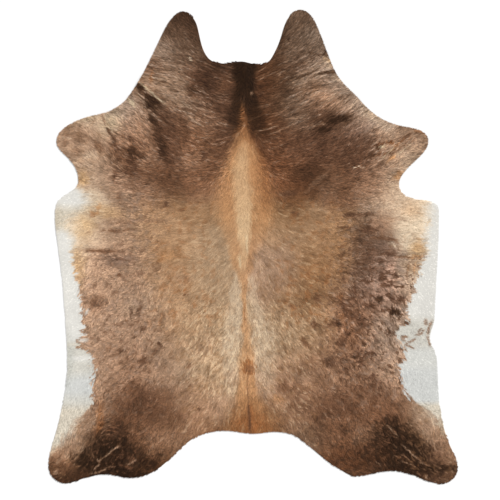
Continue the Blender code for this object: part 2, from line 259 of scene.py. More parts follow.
# Marks: x, y, half length, half width, heading in degrees from +X, colour, strength, softness
MARKS = {
    "soft shades of the neck": [
        (-258, 975, 62, 34, 107, "umber", 0.55, 1.0), (-32, 816, 42, 38, 0, "mane", 0.95, 1.0),
        (213, 815, 44, 34, 15, "brown", 0.36, 1.0), (-451, 812, 36, 34, 65, "brown", 0.6, 1.0),
        (-495, 622, 34, 30, -40, "chestnut", 0.55, 1.0), (-451, 746, 36, 34, -40, "pale taupe", 0.4, 1.0),
        (210, 751, 38, 26, 20, "pale taupe", 0.26, 1.0)],
    "soft shades of the shoulders and forelegs": [
        (-507, 310, 62, 46, 0, "brown", 0.42, 1.0), (-518, 393, 34, 32, 0, "brown", 0.4, 1.0),
        (-622, 454, 36, 30, 100, "brown", 0.3, 1.0), (484, 355, 62, 50, 0, "brown", 0.52, 1.0),
        (570, 504, 36, 30, 0, "chestnut", 0.7, 1.0), (515, 601, 32, 28, -30, "warm bone", 0.65, 1.0),
        (-606, 601, 32, 28, 15, "warm bone", 0.45, 1.0), (591, 536, 28, 24, -20, "warm bone", 0.4, 1.0)],
    "soft shades of the left flank": [
        (-573, -38, 50, 36, -5, "chestnut", 0.4, 1.0), (-510, -213, 40, 38, 90, "chestnut", 0.4, 1.0),
        (-516, -342, 44, 40, 0, "chestnut", 0.45, 1.0), (-572, 214, 42, 38, 0, "taupe", 0.9, 1.0),
        (-748, 90, 46, 40, 90, "gold", 0.58, 1.0)],
    "soft shades of the right flank": [
        (567, -272, 32, 26, 0, "brown", 0.45, 1.0), (391, -248, 46, 36, 80, "brown", 0.38, 1.0),
        (576, -506, 36, 30, 0, "brown", 0.24, 1.0), (602, -330, 56, 30, -5, "brown", 0.26, 1.0),
        (695, -85, 38, 36, 0, "pale taupe", 0.72, 1.0), (713, 167, 38, 32, 0, "ginger", 0.32, 1.0),
        (749, 13, 30, 30, 90, "ginger", 0.26, 1.0)],
    "soft shades of the rump and thighs": [
        (391, -510, 44, 34, 0, "brown", 0.36, 1.0), (566, -636, 44, 34, 0, "brown", 0.3, 1.0),
        (200, -633, 52, 34, 5, "warm brown", 0.44, 1.0), (265, -510, 42, 36, 0, "warm brown", 0.4, 1.0),
        (-631, -634, 36, 32, 90, "warm brown", 0.3, 1.0), (-245, -631, 60, 34, 0, "warm brown", 0.3, 1.0),
        (-511, -512, 50, 44, 0, "chestnut", 0.55, 1.0), (-215, -453, 44, 36, 50, "chestnut", 0.4, 1.0),
        (-629, -450, 40, 36, 0, "chestnut", 0.4, 1.0), (-330, -688, 36, 34, 0, "taupe", 0.45, 1.0),
        (213, -575, 36, 32, 0, "pale taupe", 0.25, 1.0)],
    "soft shades of the back": [
        (92, 392, 44, 40, 90, "auburn", 0.45, 1.0), (-91, -577, 32, 30, 0, "taupe", 0.5, 1.0),
        (-150, -336, 50, 28, 88, "fawn", 0.38, 1.0), (-20, -272, 40, 22, 88, "fawn", 0.42, 1.0)],
    "soft shades of the shanks and the tail": [
        (813, -936, 38, 32, -50, "brown", 0.75, 1.0), (754, -799, 30, 28, -50, "chestnut", 0.55, 1.0),
        (-93, -753, 32, 36, 0, "ochre", 0.45, 1.0), (91, -751, 42, 42, 0, "ochre", 0.4, 1.0)],
    # The two neck tan patches are painted highlight on the bulge above the fold, and the faint brown patch
    # beside them is painted shade.
    "left neck": [
        (-284, 850, 10, 4, 118, "beige", 0.8, 0.5), (-366, 730, 92, 76, 115, "neck tan", 0.85, 0.34),
        (-345, 664, 62, 27, -32, "neck tan", 0.6, 0.6), (-235, 650, 60, 40, -40, "brown", 0.12, 0.9),
        (-230, 722, 55, 30, 20, "umber", 0.55, 0.8), (-120, 735, 40, 28, 60, "warm brown", 0.55, 0.8),
        (-455, 768, 30, 6, 85, "russet", 0.6, 0.6)],
    # Painted shade in the hollow below the fold's crest (umber and mane) and a painted highlight on the flap
    # at its lower left (sand).
    "left neck fold": [
        (-460, 664, 54, 18, -42, "umber", 0.82, 0.6), (-446, 640, 38, 22, -20, "mane", 0.88, 0.8),
        (-503, 715, 26, 9, -52, "umber", 0.85, 0.5), (-545, 648, 30, 8, -40, "sand", 0.7, 0.5)],
    "mane speck": [
        (-5, 695, 9, 5, 80, "taupe", 0.7, 0.5)],
    "right prong dots": [
        (130, 930, 40, 12, 95, "umber", 0.6, 0.7), (118, 915, 8, 8, 0, "umber", 0.8, 0.4),
        (160, 930, 8, 8, 0, "umber", 0.7, 0.4), (325, 885, 8, 8, 0, "umber", 0.7, 0.4)],
    # The umber and mane bands near y 570 are painted shade below a fold; the thin umber line at y 868 is
    # painted shade along a wrinkle.
    "right neck": [
        (335, 842, 22, 9, -30, "gold", 0.5, 0.7), (335, 820, 28, 16, -60, "pale taupe", 0.8, 0.6),
        (340, 785, 36, 8, 5, "umber", 0.8, 0.5), (385, 758, 26, 11, -20, "pale taupe", 0.9, 0.6),
        (285, 868, 46, 5, -5, "umber", 0.6, 0.6), (350, 570, 68, 21, 12, "umber", 0.66, 0.6),
        (388, 576, 52, 13, 15, "mane", 0.6, 0.7)],
    # The mane mark is painted shade below the same fold.
    "right shoulder top": [
        (312, 528, 32, 12, 5, "mane", 0.75, 0.5), (545, 590, 48, 18, -35, "pale taupe", 0.8, 0.6)],
    "left foreleg": [
        (-768, 502, 60, 32, -5, "chestnut", 0.66, 1.0), (-842, 470, 18, 9, 70, "chestnut", 0.65, 0.8),
        (-790, 430, 22, 12, 20, "chestnut", 0.6, 0.8), (-728, 412, 34, 20, 10, "beige", 0.45, 0.9),
        (-742, 578, 46, 10, 14, "sand", 0.45, 0.8), (-690, 447, 28, 17, -50, "warm brown", 0.65, 0.7),
        (-640, 555, 48, 36, 60, "sand", 0.6, 0.8)],
    "left shoulder spots": [
        (-645, 515, 22, 5, -55, "brown", 0.7, 0.6), (-615, 455, 50, 16, 100, "brown", 0.75, 0.6),
        (-580, 465, 22, 30, 0, "chestnut", 0.4, 0.8), (-547, 412, 32, 18, 90, "umber", 0.8, 0.6),
        (-500, 412, 34, 12, -25, "umber", 0.7, 0.6), (-540, 482, 34, 10, -15, "brown", 0.7, 0.6),
        (-495, 458, 26, 7, -20, "brown", 0.6, 0.6), (-543, 375, 28, 20, -30, "brown", 0.85, 0.5)],
    "left chest spots": [
        (-622, 318, 30, 18, 75, "brown", 0.8, 0.6), (-615, 292, 20, 9, 0, "brown", 0.6, 0.6),
        (-540, 332, 50, 14, -10, "brown", 0.7, 0.6), (-440, 336, 68, 20, 0, "warm brown", 0.75, 0.7)],
    # The dark column is partly dark hair and partly painted shade on the shaded side of a fold; the wide
    # brown mark is painted shade.
    "dark column at the left back": [
        (-451, 570, 34, 14, 110, "mane", 0.8, 0.7), (-392, 515, 105, 34, 106, "brown", 0.45, 0.9),
        (-422, 500, 62, 18, 106, "umber", 0.75, 0.8), (-402, 420, 38, 15, 100, "umber", 0.6, 0.8)],
    "left back and flank dots": [
        (-218, 412, 22, 16, 90, "brown", 0.8, 0.5), (-600, 225, 20, 12, 90, "warm brown", 0.5, 0.7),
        (-395, 190, 13, 8, 60, "brown", 0.7, 0.5), (-325, 168, 16, 7, 30, "warm brown", 0.6, 0.6)],
    "left chest cream and gold": [
        (-725, 232, 40, 30, -10, "cream", 0.45, 0.8), (-765, 305, 30, 22, 80, "gold", 0.6, 0.8),
        (-665, 160, 74, 30, -8, "gold", 0.42, 0.8), (-722, 148, 14, 12, 40, "russet", 0.55, 0.6),
        (-700, 168, 26, 10, 75, "ginger", 0.7, 0.7)],
    "left belly gold and peach": [
        (-770, 78, 44, 34, 90, "fawn", 0.38, 0.9), (-694, 36, 60, 36, 0, "pale taupe", 0.5, 1.0)],
    # The warm brown line at y 73 lies on a wrinkle and is painted shade along it.
    "left flank streaks": [
        (-580, 112, 70, 12, 0, "chestnut", 0.6, 0.7), (-622, 73, 88, 7, 2, "warm brown", 0.7, 0.6),
        (-460, 120, 60, 8, 0, "chestnut", 0.6, 0.7), (-385, -40, 46, 22, 20, "ginger", 0.4, 0.8)],
    # The warm brown line lies in the crease's trough and is painted shade.
    "left belly crease": [
        (-676, -18, 84, 9, -3, "warm brown", 0.8, 0.5), (-680, -50, 70, 8, 0, "chestnut", 0.4, 0.8)],
    "left flank edge and dots": [
        (-606, -58, 64, 26, -2, "plum brown", 0.7, 0.9), (-785, -95, 26, 70, 0, "gold", 0.55, 0.9),
        (-602, -125, 10, 8, 90, "warm brown", 0.8, 0.5), (-520, -120, 28, 14, 20, "chestnut", 0.7, 0.8)],
    "left flank cluster": [
        (-706, -250, 46, 34, -10, "warm brown", 0.55, 0.9), (-708, -262, 22, 16, 0, "brown", 0.35, 0.9)],
    "left flank spots": [
        (-512, -285, 34, 10, 85, "brown", 0.65, 0.6), (-548, -300, 22, 9, 90, "brown", 0.6, 0.6)],
    "left back rust dots": [
        (-305, -198, 14, 9, 60, "russet", 0.75, 0.6), (-298, -214, 9, 6, 0, "warm brown", 0.7, 0.5),
        (-315, -145, 34, 24, 0, "chestnut", 0.35, 0.9)],
    "left flank dots, low": [
        (-492, -368, 13, 6, 20, "brown", 0.9, 0.5), (-572, -332, 9, 5, 30, "warm brown", 0.8, 0.5),
        (-535, -408, 9, 5, 20, "brown", 0.7, 0.5)],
    "left thigh dots": [
        (-418, -442, 18, 10, -50, "brown", 0.85, 0.5), (-440, -468, 18, 8, 35, "brown", 0.75, 0.5),
        (-495, -512, 24, 16, 60, "brown", 0.85, 0.6), (-588, -466, 22, 7, 0, "brown", 0.75, 0.5),
        (-652, -458, 13, 13, 0, "warm brown", 0.6, 0.7)],
    "left rump and seat dots": [
        (-290, -535, 16, 8, 50, "warm brown", 0.7, 0.6), (-288, -615, 13, 8, 80, "warm brown", 0.7, 0.5),
        (-243, -728, 8, 8, 0, "brown", 0.9, 0.4)],
    "left thigh dark": [
        (-545, -630, 40, 26, 40, "warm brown", 0.8, 0.8), (-505, -690, 50, 26, 70, "umber", 0.5, 0.9)],
    "left hock red": [
        (-694, -812, 40, 16, 65, "russet", 0.55, 0.8), (-690, -742, 46, 17, 88, "russet", 0.55, 0.8)],
    "left shank black": [
        (-645, -885, 75, 58, 30, "mane", 0.8, 0.6), (-745, -965, 48, 40, 0, "mane", 0.85, 0.6),
        (-630, -835, 46, 22, 10, "brown", 0.5, 0.8)],
    "left buttock": [
        (-545, -965, 24, 24, 0, "brown", 0.5, 0.8), (-555, -990, 16, 14, 0, "warm brown", 0.7, 0.7),
        (-500, -965, 40, 20, 20, "mane", 0.55, 0.8), (-440, -965, 36, 16, 45, "mane", 0.6, 0.7),
        (-560, -1010, 60, 14, 0, "mane", 0.7, 0.7)],
    "left shank tip": [
        (-860, -985, 44, 30, -10, "warm brown", 0.6, 0.8), (-890, -1015, 12, 6, 50, "taupe", 0.6, 0.6),
        (-875, -965, 22, 5, 40, "taupe", 0.5, 0.7)],
    "right foreleg": [
        (582, 466, 36, 8, 8, "auburn", 0.75, 0.5), (580, 452, 15, 6, 12, "sand", 0.9, 0.4),
        (622, 464, 24, 7, -10, "russet", 0.7, 0.6), (560, 448, 12, 7, 80, "auburn", 0.6, 0.6),
        (672, 490, 34, 8, 30, "warm brown", 0.55, 0.7), (745, 518, 30, 8, -20, "russet", 0.5, 0.7),
        (575, 420, 40, 12, 10, "warm brown", 0.65, 0.7), (625, 398, 26, 9, 30, "ginger", 0.8, 0.7),
        (652, 322, 24, 13, 35, "ginger", 0.75, 0.6), (530, 413, 32, 12, 20, "umber", 0.7, 0.7),
        (562, 365, 10, 10, 0, "brown", 0.7, 0.6)],
    "right shoulder dark": [
        (465, 445, 80, 46, 20, "brown", 0.5, 0.9)],
    "pale specks at the right shoulder": [
        (430, 374, 4, 4, 60, "cream", 0.75, 0.5), (470, 366, 5, 4, 0, "cream", 0.8, 0.5),
        (455, 357, 4, 3, 0, "cream", 0.75, 0.5), (487, 355, 5, 4, 0, "cream", 0.8, 0.5)],
    "right back": [
        (240, 330, 95, 30, -4, "umber", 0.6, 0.8), (165, 240, 42, 14, 15, "brown", 0.6, 0.7),
        (190, 148, 14, 14, 0, "brown", 0.65, 0.7), (290, 300, 68, 11, 42, "chestnut", 0.6, 0.8)],
    "right flank streaks": [
        (445, 142, 46, 9, 0, "brown", 0.8, 0.6), (515, 145, 34, 10, -5, "brown", 0.6, 0.7),
        (415, 86, 42, 6, -3, "brown", 0.65, 0.6), (520, 78, 46, 12, 5, "brown", 0.75, 0.6)],
    "right flank dark field": [
        (495, -20, 46, 80, 5, "brown", 0.55, 0.9), (600, -24, 70, 16, 3, "brown", 0.75, 0.7)],
    "right flank line and hook": [
        (575, 38, 80, 5, -4, "warm brown", 0.65, 0.6), (645, 25, 22, 6, -40, "warm brown", 0.5, 0.7),
        (632, 12, 16, 4, -50, "cream", 0.6, 0.6)],
    # Both lines lie in the crease's trough and are painted shade.
    "right belly crease": [
        (665, -44, 42, 6, -2, "brown", 0.7, 0.5), (745, -44, 56, 8, 2, "ginger", 0.7, 0.6)],
    "right belly gold": [
        (740, -8, 34, 28, 0, "gold", 0.55, 0.9), (730, -88, 22, 34, 75, "ginger", 0.3, 0.9)],
    "right chest streak": [
        (600, 128, 80, 5, -4, "taupe", 0.6, 0.7)],
    "right flank ring": [
        (582, -138, 20, 16, 60, "brown", 0.85, 0.5), (605, -112, 26, 7, -15, "brown", 0.75, 0.5),
        (641, -135, 12, 17, 20, "brown", 0.8, 0.5), (612, -152, 26, 6, 5, "brown", 0.6, 0.6)],
    "right flank dots": [
        (612, -172, 30, 8, -5, "brown", 0.8, 0.5), (690, -122, 12, 7, -60, "brown", 0.5, 0.6),
        (672, -178, 12, 9, 30, "brown", 0.7, 0.5)],
    "right flank dark spots": [
        (620, -228, 34, 14, -40, "brown", 0.9, 0.5), (665, -235, 22, 18, -20, "brown", 0.85, 0.5),
        (565, -232, 18, 18, 0, "umber", 0.9, 0.5), (520, -262, 32, 12, -5, "brown", 0.85, 0.5),
        (632, -288, 36, 16, -18, "umber", 0.95, 0.5), (665, -303, 36, 4, -2, "umber", 0.8, 0.5)],
    "right flank inner dark": [
        (415, -270, 20, 32, 0, "brown", 0.85, 0.6), (452, -225, 22, 30, 10, "brown", 0.55, 0.8),
        (455, -120, 18, 10, -35, "brown", 0.7, 0.6), (575, -65, 14, 12, 0, "brown", 0.6, 0.6),
        (520, -100, 40, 10, 0, "brown", 0.6, 0.6)],
    "right rump spots": [
        (175, -270, 18, 9, -10, "brown", 0.6, 0.6), (288, -235, 16, 20, 0, "warm brown", 0.75, 0.6),
        (272, -348, 18, 18, 0, "warm brown", 0.85, 0.6), (232, -430, 22, 12, -50, "warm brown", 0.75, 0.6),
        (348, -350, 20, 12, 40, "warm brown", 0.7, 0.6)],
    "right flank blots": [
        (378, -335, 14, 18, 30, "brown", 0.9, 0.5), (425, -385, 20, 16, 0, "brown", 0.75, 0.6),
        (470, -315, 34, 12, -10, "brown", 0.75, 0.6), (490, -345, 32, 14, -20, "brown", 0.7, 0.6),
        (395, -435, 26, 14, 0, "brown", 0.8, 0.5), (497, -435, 10, 16, 0, "umber", 0.8, 0.5),
        (470, -475, 30, 16, 30, "brown", 0.75, 0.6), (530, -478, 26, 10, -10, "brown", 0.8, 0.5),
        (462, -495, 22, 6, 5, "umber", 0.8, 0.5), (475, -520, 24, 8, -25, "brown", 0.85, 0.5),
        (600, -380, 18, 8, -20, "brown", 0.7, 0.5), (640, -395, 14, 9, -50, "brown", 0.8, 0.5)],
    "right thigh blots": [
        (355, -520, 34, 18, -15, "brown", 0.75, 0.6), (415, -560, 20, 12, -35, "brown", 0.6, 0.6),
        (550, -615, 20, 14, 50, "brown", 0.65, 0.6), (490, -635, 50, 20, 0, "warm brown", 0.5, 0.8)],
    "right flank fringe": [
        (672, -510, 8, 10, 0, "warm brown", 0.9, 0.5)],
    "right rump dots, low": [
        (140, -628, 24, 18, 0, "warm brown", 0.6, 0.7), (208, -560, 12, 16, 0, "warm brown", 0.55, 0.6)],
    "right seat": [
        (115, -685, 28, 16, -10, "ginger", 0.55, 0.8), (175, -712, 20, 10, -20, "warm brown", 0.5, 0.6),
        (350, -720, 80, 50, 0, "brown", 0.5, 0.9), (310, -765, 20, 12, 20, "brown", 0.7, 0.7)],
    "right hock dark": [
        (630, -785, 44, 24, 10, "umber", 0.7, 0.8)],
    "right shank black": [
        (640, -850, 85, 60, -20, "mane", 0.75, 0.6), (700, -905, 75, 44, -35, "mane", 0.6, 0.7),
        (770, -920, 42, 34, -50, "mane", 0.6, 0.8), (640, -975, 70, 24, 0, "mane", 0.6, 0.7),
        (820, -1000, 90, 14, 5, "mane", 0.75, 0.7)],
    "right shank brown and speck": [
        (560, -990, 40, 20, 10, "brown", 0.4, 0.8), (782, -1037, 6, 12, 0, "taupe", 0.85, 0.5)],
    "right buttock rim": [
        (480, -1015, 50, 14, 0, "warm brown", 0.7, 0.7)],
    "whirl": [
        (-18, -538, 35, 30, 90, "russet", 0.74, 0.2), (-14, -546, 18, 18, 90, "warm brown", 0.55, 0.7)],
    "tail orange": [
        (0, -805, 75, 55, 0, "russet", 0.6, 0.9), (-70, -790, 30, 50, 0, "russet", 0.3, 0.9)],
    "right fringe bay": [
        (690, -352, 24, 8, -10, "chestnut", 0.75, 0.5)],
}

# Flecks on the white edges, with the same values as the marks
FLECKS = {
    "left white edge": [
        (-765, -420, 22, 9, 5, "ivory", 0.75, 0.5), (-748, -292, 18, 6, 60, "ivory", 0.75, 0.5)],
    "right white ring": [
        (678, -410, 16, 13, 0, "chestnut", 0.62, 0.4), (682, -403, 15, 4, 0, "chestnut", 0.8, 0.5),
        (688, -414, 6, 5, 0, "ivory", 0.9, 0.5), (777, -338, 9, 14, 0, "chestnut", 0.6, 0.6)],
    # Grey along the left outer edge: painted shade.
    "left white shade": [
        (-828, -500, 80, 18, 92, "stone", 0.7, 1.0), (-880, 120, 50, 18, 85, "bone", 0.45, 1.0)],
}

# Lines: start, bend and end as x and y, width at start and end, colour, strength
LINES = {
    "tail shade and mane parting": [
        ((-14, -700), (-8, -760), (-6, -850), 10, 26, "russet", 0.55),
        ((-47, 640), (-46, 600), (-50, 560), 3, 5, "russet", 0.5)],
    # These lines lie on the wrinkles: the taupe one is a painted highlight on a crest, and the umber ones are
    # painted shade.
    "left prong wrinkles": [
        ((-420, 835), (-380, 820), (-330, 806), 3, 3, "taupe", 0.6),
        ((-380, 905), (-330, 895), (-270, 890), 3, 3, "umber", 0.4),
        ((-390, 870), (-320, 862), (-250, 850), 3, 3, "umber", 0.4)],
    # The sand line is a painted highlight on the fold's crest; most of the taupe and pale taupe lines lie on
    # wrinkles and are painted highlights on their crests.
    "left neck": [
        ((-510, 742), (-455, 692), (-388, 636), 4, 5, "sand", 0.75),
        ((-350, 720), (-290, 670), (-215, 640), 4, 3, "taupe", 0.55),
        ((-330, 690), (-270, 640), (-200, 610), 4, 3, "taupe", 0.5),
        ((-300, 600), (-260, 565), (-228, 545), 4, 3, "pale taupe", 0.6),
        ((-290, 505), (-250, 495), (-180, 490), 3, 3, "taupe", 0.5),
        ((-250, 565), (-200, 550), (-130, 548), 3, 3, "chestnut", 0.6),
        ((-330, 655), (-300, 640), (-250, 600), 3, 3, "pale taupe", 0.5)],
    # Dark lines on the two foreleg wrinkles: painted shade along them.
    "left foreleg": [
        ((-683, 597), (-668, 570), (-664, 545), 5, 4, "chestnut", 0.75),
        ((-655, 532), (-645, 515), (-630, 495), 4, 3, "brown", 0.7)],
    # Light lines on the neck's wrinkles and folds are painted highlights on their crests; the umber line
    # beside one is painted shade.
    "right neck": [
        ((170, 770), (240, 790), (298, 828), 3, 3, "taupe", 0.6),
        ((180, 757), (245, 776), (305, 812), 4, 4, "umber", 0.55),
        ((130, 640), (180, 655), (232, 682), 3, 3, "taupe", 0.6),
        ((150, 658), (195, 668), (240, 692), 3, 3, "taupe", 0.55),
        ((140, 735), (185, 742), (232, 762), 3, 3, "taupe", 0.6),
        ((330, 650), (352, 668), (372, 697), 4, 4, "pale taupe", 0.5),
        ((430, 618), (450, 640), (470, 672), 5, 4, "pale taupe", 0.5)],
    # The taupe lines lie on wrinkles and are painted highlights on their crests.
    "right withers": [
        ((15, 524), (60, 530), (112, 546), 3, 3, "taupe", 0.75),
        ((60, 505), (130, 530), (205, 572), 3, 3, "taupe", 0.65),
        ((160, 575), (200, 580), (250, 600), 4, 4, "taupe", 0.6),
        ((240, 528), (290, 550), (325, 548), 4, 4, "taupe", 0.7),
        ((70, 440), (110, 452), (140, 468), 3, 3, "chestnut", 0.6),
        ((30, 470), (80, 485), (120, 500), 3, 3, "chestnut", 0.6),
        ((80, 600), (120, 606), (150, 622), 3, 3, "chestnut", 0.6)],
    "right foreleg": [
        ((618, 430), (650, 458), (684, 492), 4, 3, "russet", 0.55),
        ((648, 430), (684, 464), (716, 500), 3, 3, "auburn", 0.55),
        ((690, 452), (722, 480), (748, 506), 3, 3, "warm brown", 0.6),
        ((570, 392), (606, 424), (640, 452), 3, 3, "sand", 0.55),
        ((592, 386), (632, 418), (668, 448), 3, 3, "auburn", 0.45),
        ((640, 408), (676, 436), (712, 466), 3, 3, "sand", 0.5),
        ((524, 400), (560, 412), (604, 420), 3, 3, "auburn", 0.5)],
    "tail parting": [
        ((-22, -575), (-24, -630), (-20, -700), 3, 4, "warm brown", 0.6),
        ((-20, -700), (-18, -750), (-12, -840), 5, 8, "brown", 0.8)],
    "spine": [
        ((-37, -250), (-40, -290), (-36, -350), 5, 4, "russet", 0.45),
        ((-62, -40), (-60, -70), (-58, -95), 5, 4, "sand", 0.7),
        ((-30, 60), (-28, 20), (-26, -30), 5, 4, "sand", 0.6)],
    # Pale lines on the dark shank; those on the shank's wrinkles are painted highlights on their crests.
    "left shank pale lines": [
        ((-598, -892), (-635, -915), (-672, -948), 4, 4, "taupe", 0.85),
        ((-702, -948), (-690, -962), (-672, -944), 4, 3, "taupe", 0.75),
        ((-652, -812), (-668, -828), (-682, -842), 3, 3, "chestnut", 0.8),
        ((-725, -1000), (-700, -985), (-685, -968), 4, 3, "taupe", 0.75),
        ((-735, -1022), (-690, -1010), (-655, -992), 4, 3, "taupe", 0.7),
        ((-655, -985), (-635, -990), (-615, -985), 4, 3, "chestnut", 0.8),
        ((-730, -925), (-722, -935), (-715, -952), 3, 3, "chestnut", 0.7)],
    "left buttock scratches": [
        ((-570, -978), (-545, -968), (-525, -955), 4, 3, "taupe", 0.7),
        ((-480, -925), (-470, -935), (-462, -915), 3, 3, "chestnut", 0.6)],
    "left shank arcs": [
        ((-678, -822), (-634, -806), (-580, -838), 2, 2, "warm brown", 0.7),
        ((-690, -842), (-640, -824), (-590, -852), 2, 2, "warm brown", 0.7),
        ((-694, -862), (-650, -842), (-604, -866), 2, 2, "chestnut", 0.6),
        ((-704, -880), (-662, -862), (-625, -880), 2, 2, "warm brown", 0.7)],
    # Pale lines on the dark shank; those on the shank's wrinkles are painted highlights on their crests.
    "right shank pale lines": [
        ((598, -800), (622, -822), (655, -850), 3, 3, "taupe", 0.75),
        ((668, -885), (700, -918), (742, -952), 3, 3, "taupe", 0.8),
        ((660, -930), (690, -945), (715, -972), 3, 3, "chestnut", 0.75),
        ((728, -935), (760, -965), (800, -990), 3, 3, "chestnut", 0.7),
        ((625, -945), (645, -940), (665, -946), 3, 2, "chestnut", 0.7),
        ((550, -965), (560, -972), (572, -985), 3, 3, "taupe", 0.5),
        ((626, -880), (636, -892), (650, -905), 2, 2, "chestnut", 0.7),
        ((600, -842), (630, -850), (660, -862), 2, 2, "chestnut", 0.6),
        ((668, -962), (690, -972), (716, -978), 3, 3, "taupe", 0.7),
        ((735, -958), (752, -968), (775, -975), 2, 2, "taupe", 0.7),
        ((770, -900), (790, -925), (800, -955), 2, 2, "chestnut", 0.5)],
    "right fleck curves": [
        ((680, -437), (708, -426), (732, -414), 4, 4, "chestnut", 0.85),
        ((678, -440), (703, -447), (725, -455), 4, 4, "chestnut", 0.9),
        ((730, -396), (752, -390), (768, -372), 4, 4, "chestnut", 0.85),
        ((738, -384), (748, -376), (757, -362), 4, 3, "chestnut", 0.75),
        ((804, -332), (790, -368), (784, -395), 5, 5, "chestnut", 0.9),
        ((784, -400), (788, -425), (798, -448), 4, 4, "chestnut", 0.8)],
    # The first, chestnut line lies in the belly crease's trough and is painted shade.
    "right belly": [
        ((640, -45), (700, -46), (800, -42), 3, 2, "chestnut", 0.6),
        ((800, 128), (788, 112), (776, 92), 3, 3, "gold", 0.6),
        ((738, -60), (728, -90), (722, -128), 4, 3, "ginger", 0.5),
        ((700, -70), (694, -104), (690, -142), 3, 3, "russet", 0.4)],
    # The line lies in the crease's trough and is painted shade.
    "left crease": [
        ((-740, -14), (-700, -18), (-620, -24), 4, 3, "warm brown", 0.6)],
}

# Edges of the white belly: colour, then y, x, softness
LEFT_WHITE = [
    ("ivory", [(300, -900, 20), (262, -785, 36), (240, -750, 42), (200, -742, 44)]),
    ("linen", [(160, -782, 42), (125, -840, 42), (95, -848, 42)]),
    ("ivory", [
        (60, -818, 40), (30, -812, 34), (0, -810, 22), (-30, -818, 9), (-60, -812, 9), (-100, -800, 8),
        (-150, -787, 7), (-200, -778, 5), (-250, -773, 4), (-300, -773, 4), (-330, -768, 4), (-352, -758, 4),
        (-368, -750, 4), (-380, -774, 4), (-392, -758, 4), (-404, -778, 4), (-420, -795, 4)]),
    ("warm white", [(-440, -776, 4)]),
    ("chalk", [(-450, -803, 4), (-462, -766, 6), (-476, -752, 7), (-484, -724, 8)]),
    ("ivory", [(-500, -713, 7)]),
    ("chalk", [(-522, -726, 6), (-556, -713, 5)]),
    ("shade white", [(-600, -725, 5), (-650, -716, 5)]),
    ("chalk", [(-700, -720, 8)]),
    ("linen", [(-736, -746, 18), (-765, -782, 26), (-800, -806, 34), (-840, -822, 40), (-880, -852, 38)]),
    ("warm bone", [(-920, -890, 30), (-960, -930, 20)]),
]
RIGHT_WHITE = [
    ("ivory", [
        (230, 880, 24), (205, 792, 40), (160, 784, 44), (110, 790, 40), (60, 778, 34), (10, 774, 26),
        (-38, 782, 16), (-58, 770, 12), (-80, 754, 10), (-110, 749, 7), (-135, 744, 5), (-160, 732, 5),
        (-200, 728, 5), (-230, 713, 4), (-262, 698, 4), (-300, 694, 4)]),
    ("chalk", [(-345, 700, 5), (-358, 662, 5), (-384, 646, 5), (-410, 652, 5), (-440, 668, 6)]),
    ("grey white", [(-470, 676, 6), (-500, 684, 6), (-520, 668, 5), (-530, 654, 5)]),
    ("shade white", [(-560, 660, 5), (-600, 672, 5), (-650, 678, 6), (-670, 700, 7), (-690, 716, 7)]),
    ("linen", [(-715, 750, 14), (-740, 796, 30), (-770, 820, 34)]),
    ("bone", [(-810, 846, 36)]),
    ("warm bone", [(-850, 866, 36), (-890, 900, 30), (-930, 935, 20)]),
]

# Lie of the hair on the right half: mm right of the back line, y, direction in degrees from +X
LIE = {
    "neck": [
        (230, 1030, 60), (250, 930, 40), (420, 760, 10), (200, 780, 22), (60, 760, 25), (0, 740, -90),
        (200, 640, 24), (460, 650, 40)],
    "shoulder and foreleg": [
        (60, 560, 14), (260, 540, 22), (460, 500, 35), (680, 500, 32), (800, 470, 5), (640, 400, 42)],
    "upper back and chest": [
        (0, 480, -88), (0, 300, -88), (30, 400, -84), (80, 400, -10), (160, 400, 12), (420, 340, 10),
        (660, 300, -5), (90, 240, -50), (260, 200, 0)],
    "flank and belly": [
        (460, 150, 0), (720, 140, -8), (0, 60, -88), (90, 20, -40), (260, 20, -5), (500, 0, -6),
        (780, 0, -15)],
    "flank and belly, low": [
        (0, -180, -88), (110, -180, -55), (260, -200, -35), (480, -200, -40), (740, -220, -35),
        (0, -420, -88)],
    "rump": [
        (110, -420, -62), (280, -420, -50), (480, -420, -42), (720, -440, -40)],
    "tail and seat": [
        (0, -640, -88), (0, -820, -90), (130, -640, -60), (280, -640, -46), (480, -620, -42),
        (740, -640, -60), (200, -800, -60)],
    "shank": [
        (400, -840, -48), (600, -780, -48), (720, -900, -48), (860, -1010, -35), (860, -860, -65),
        (480, -970, -45)],
}

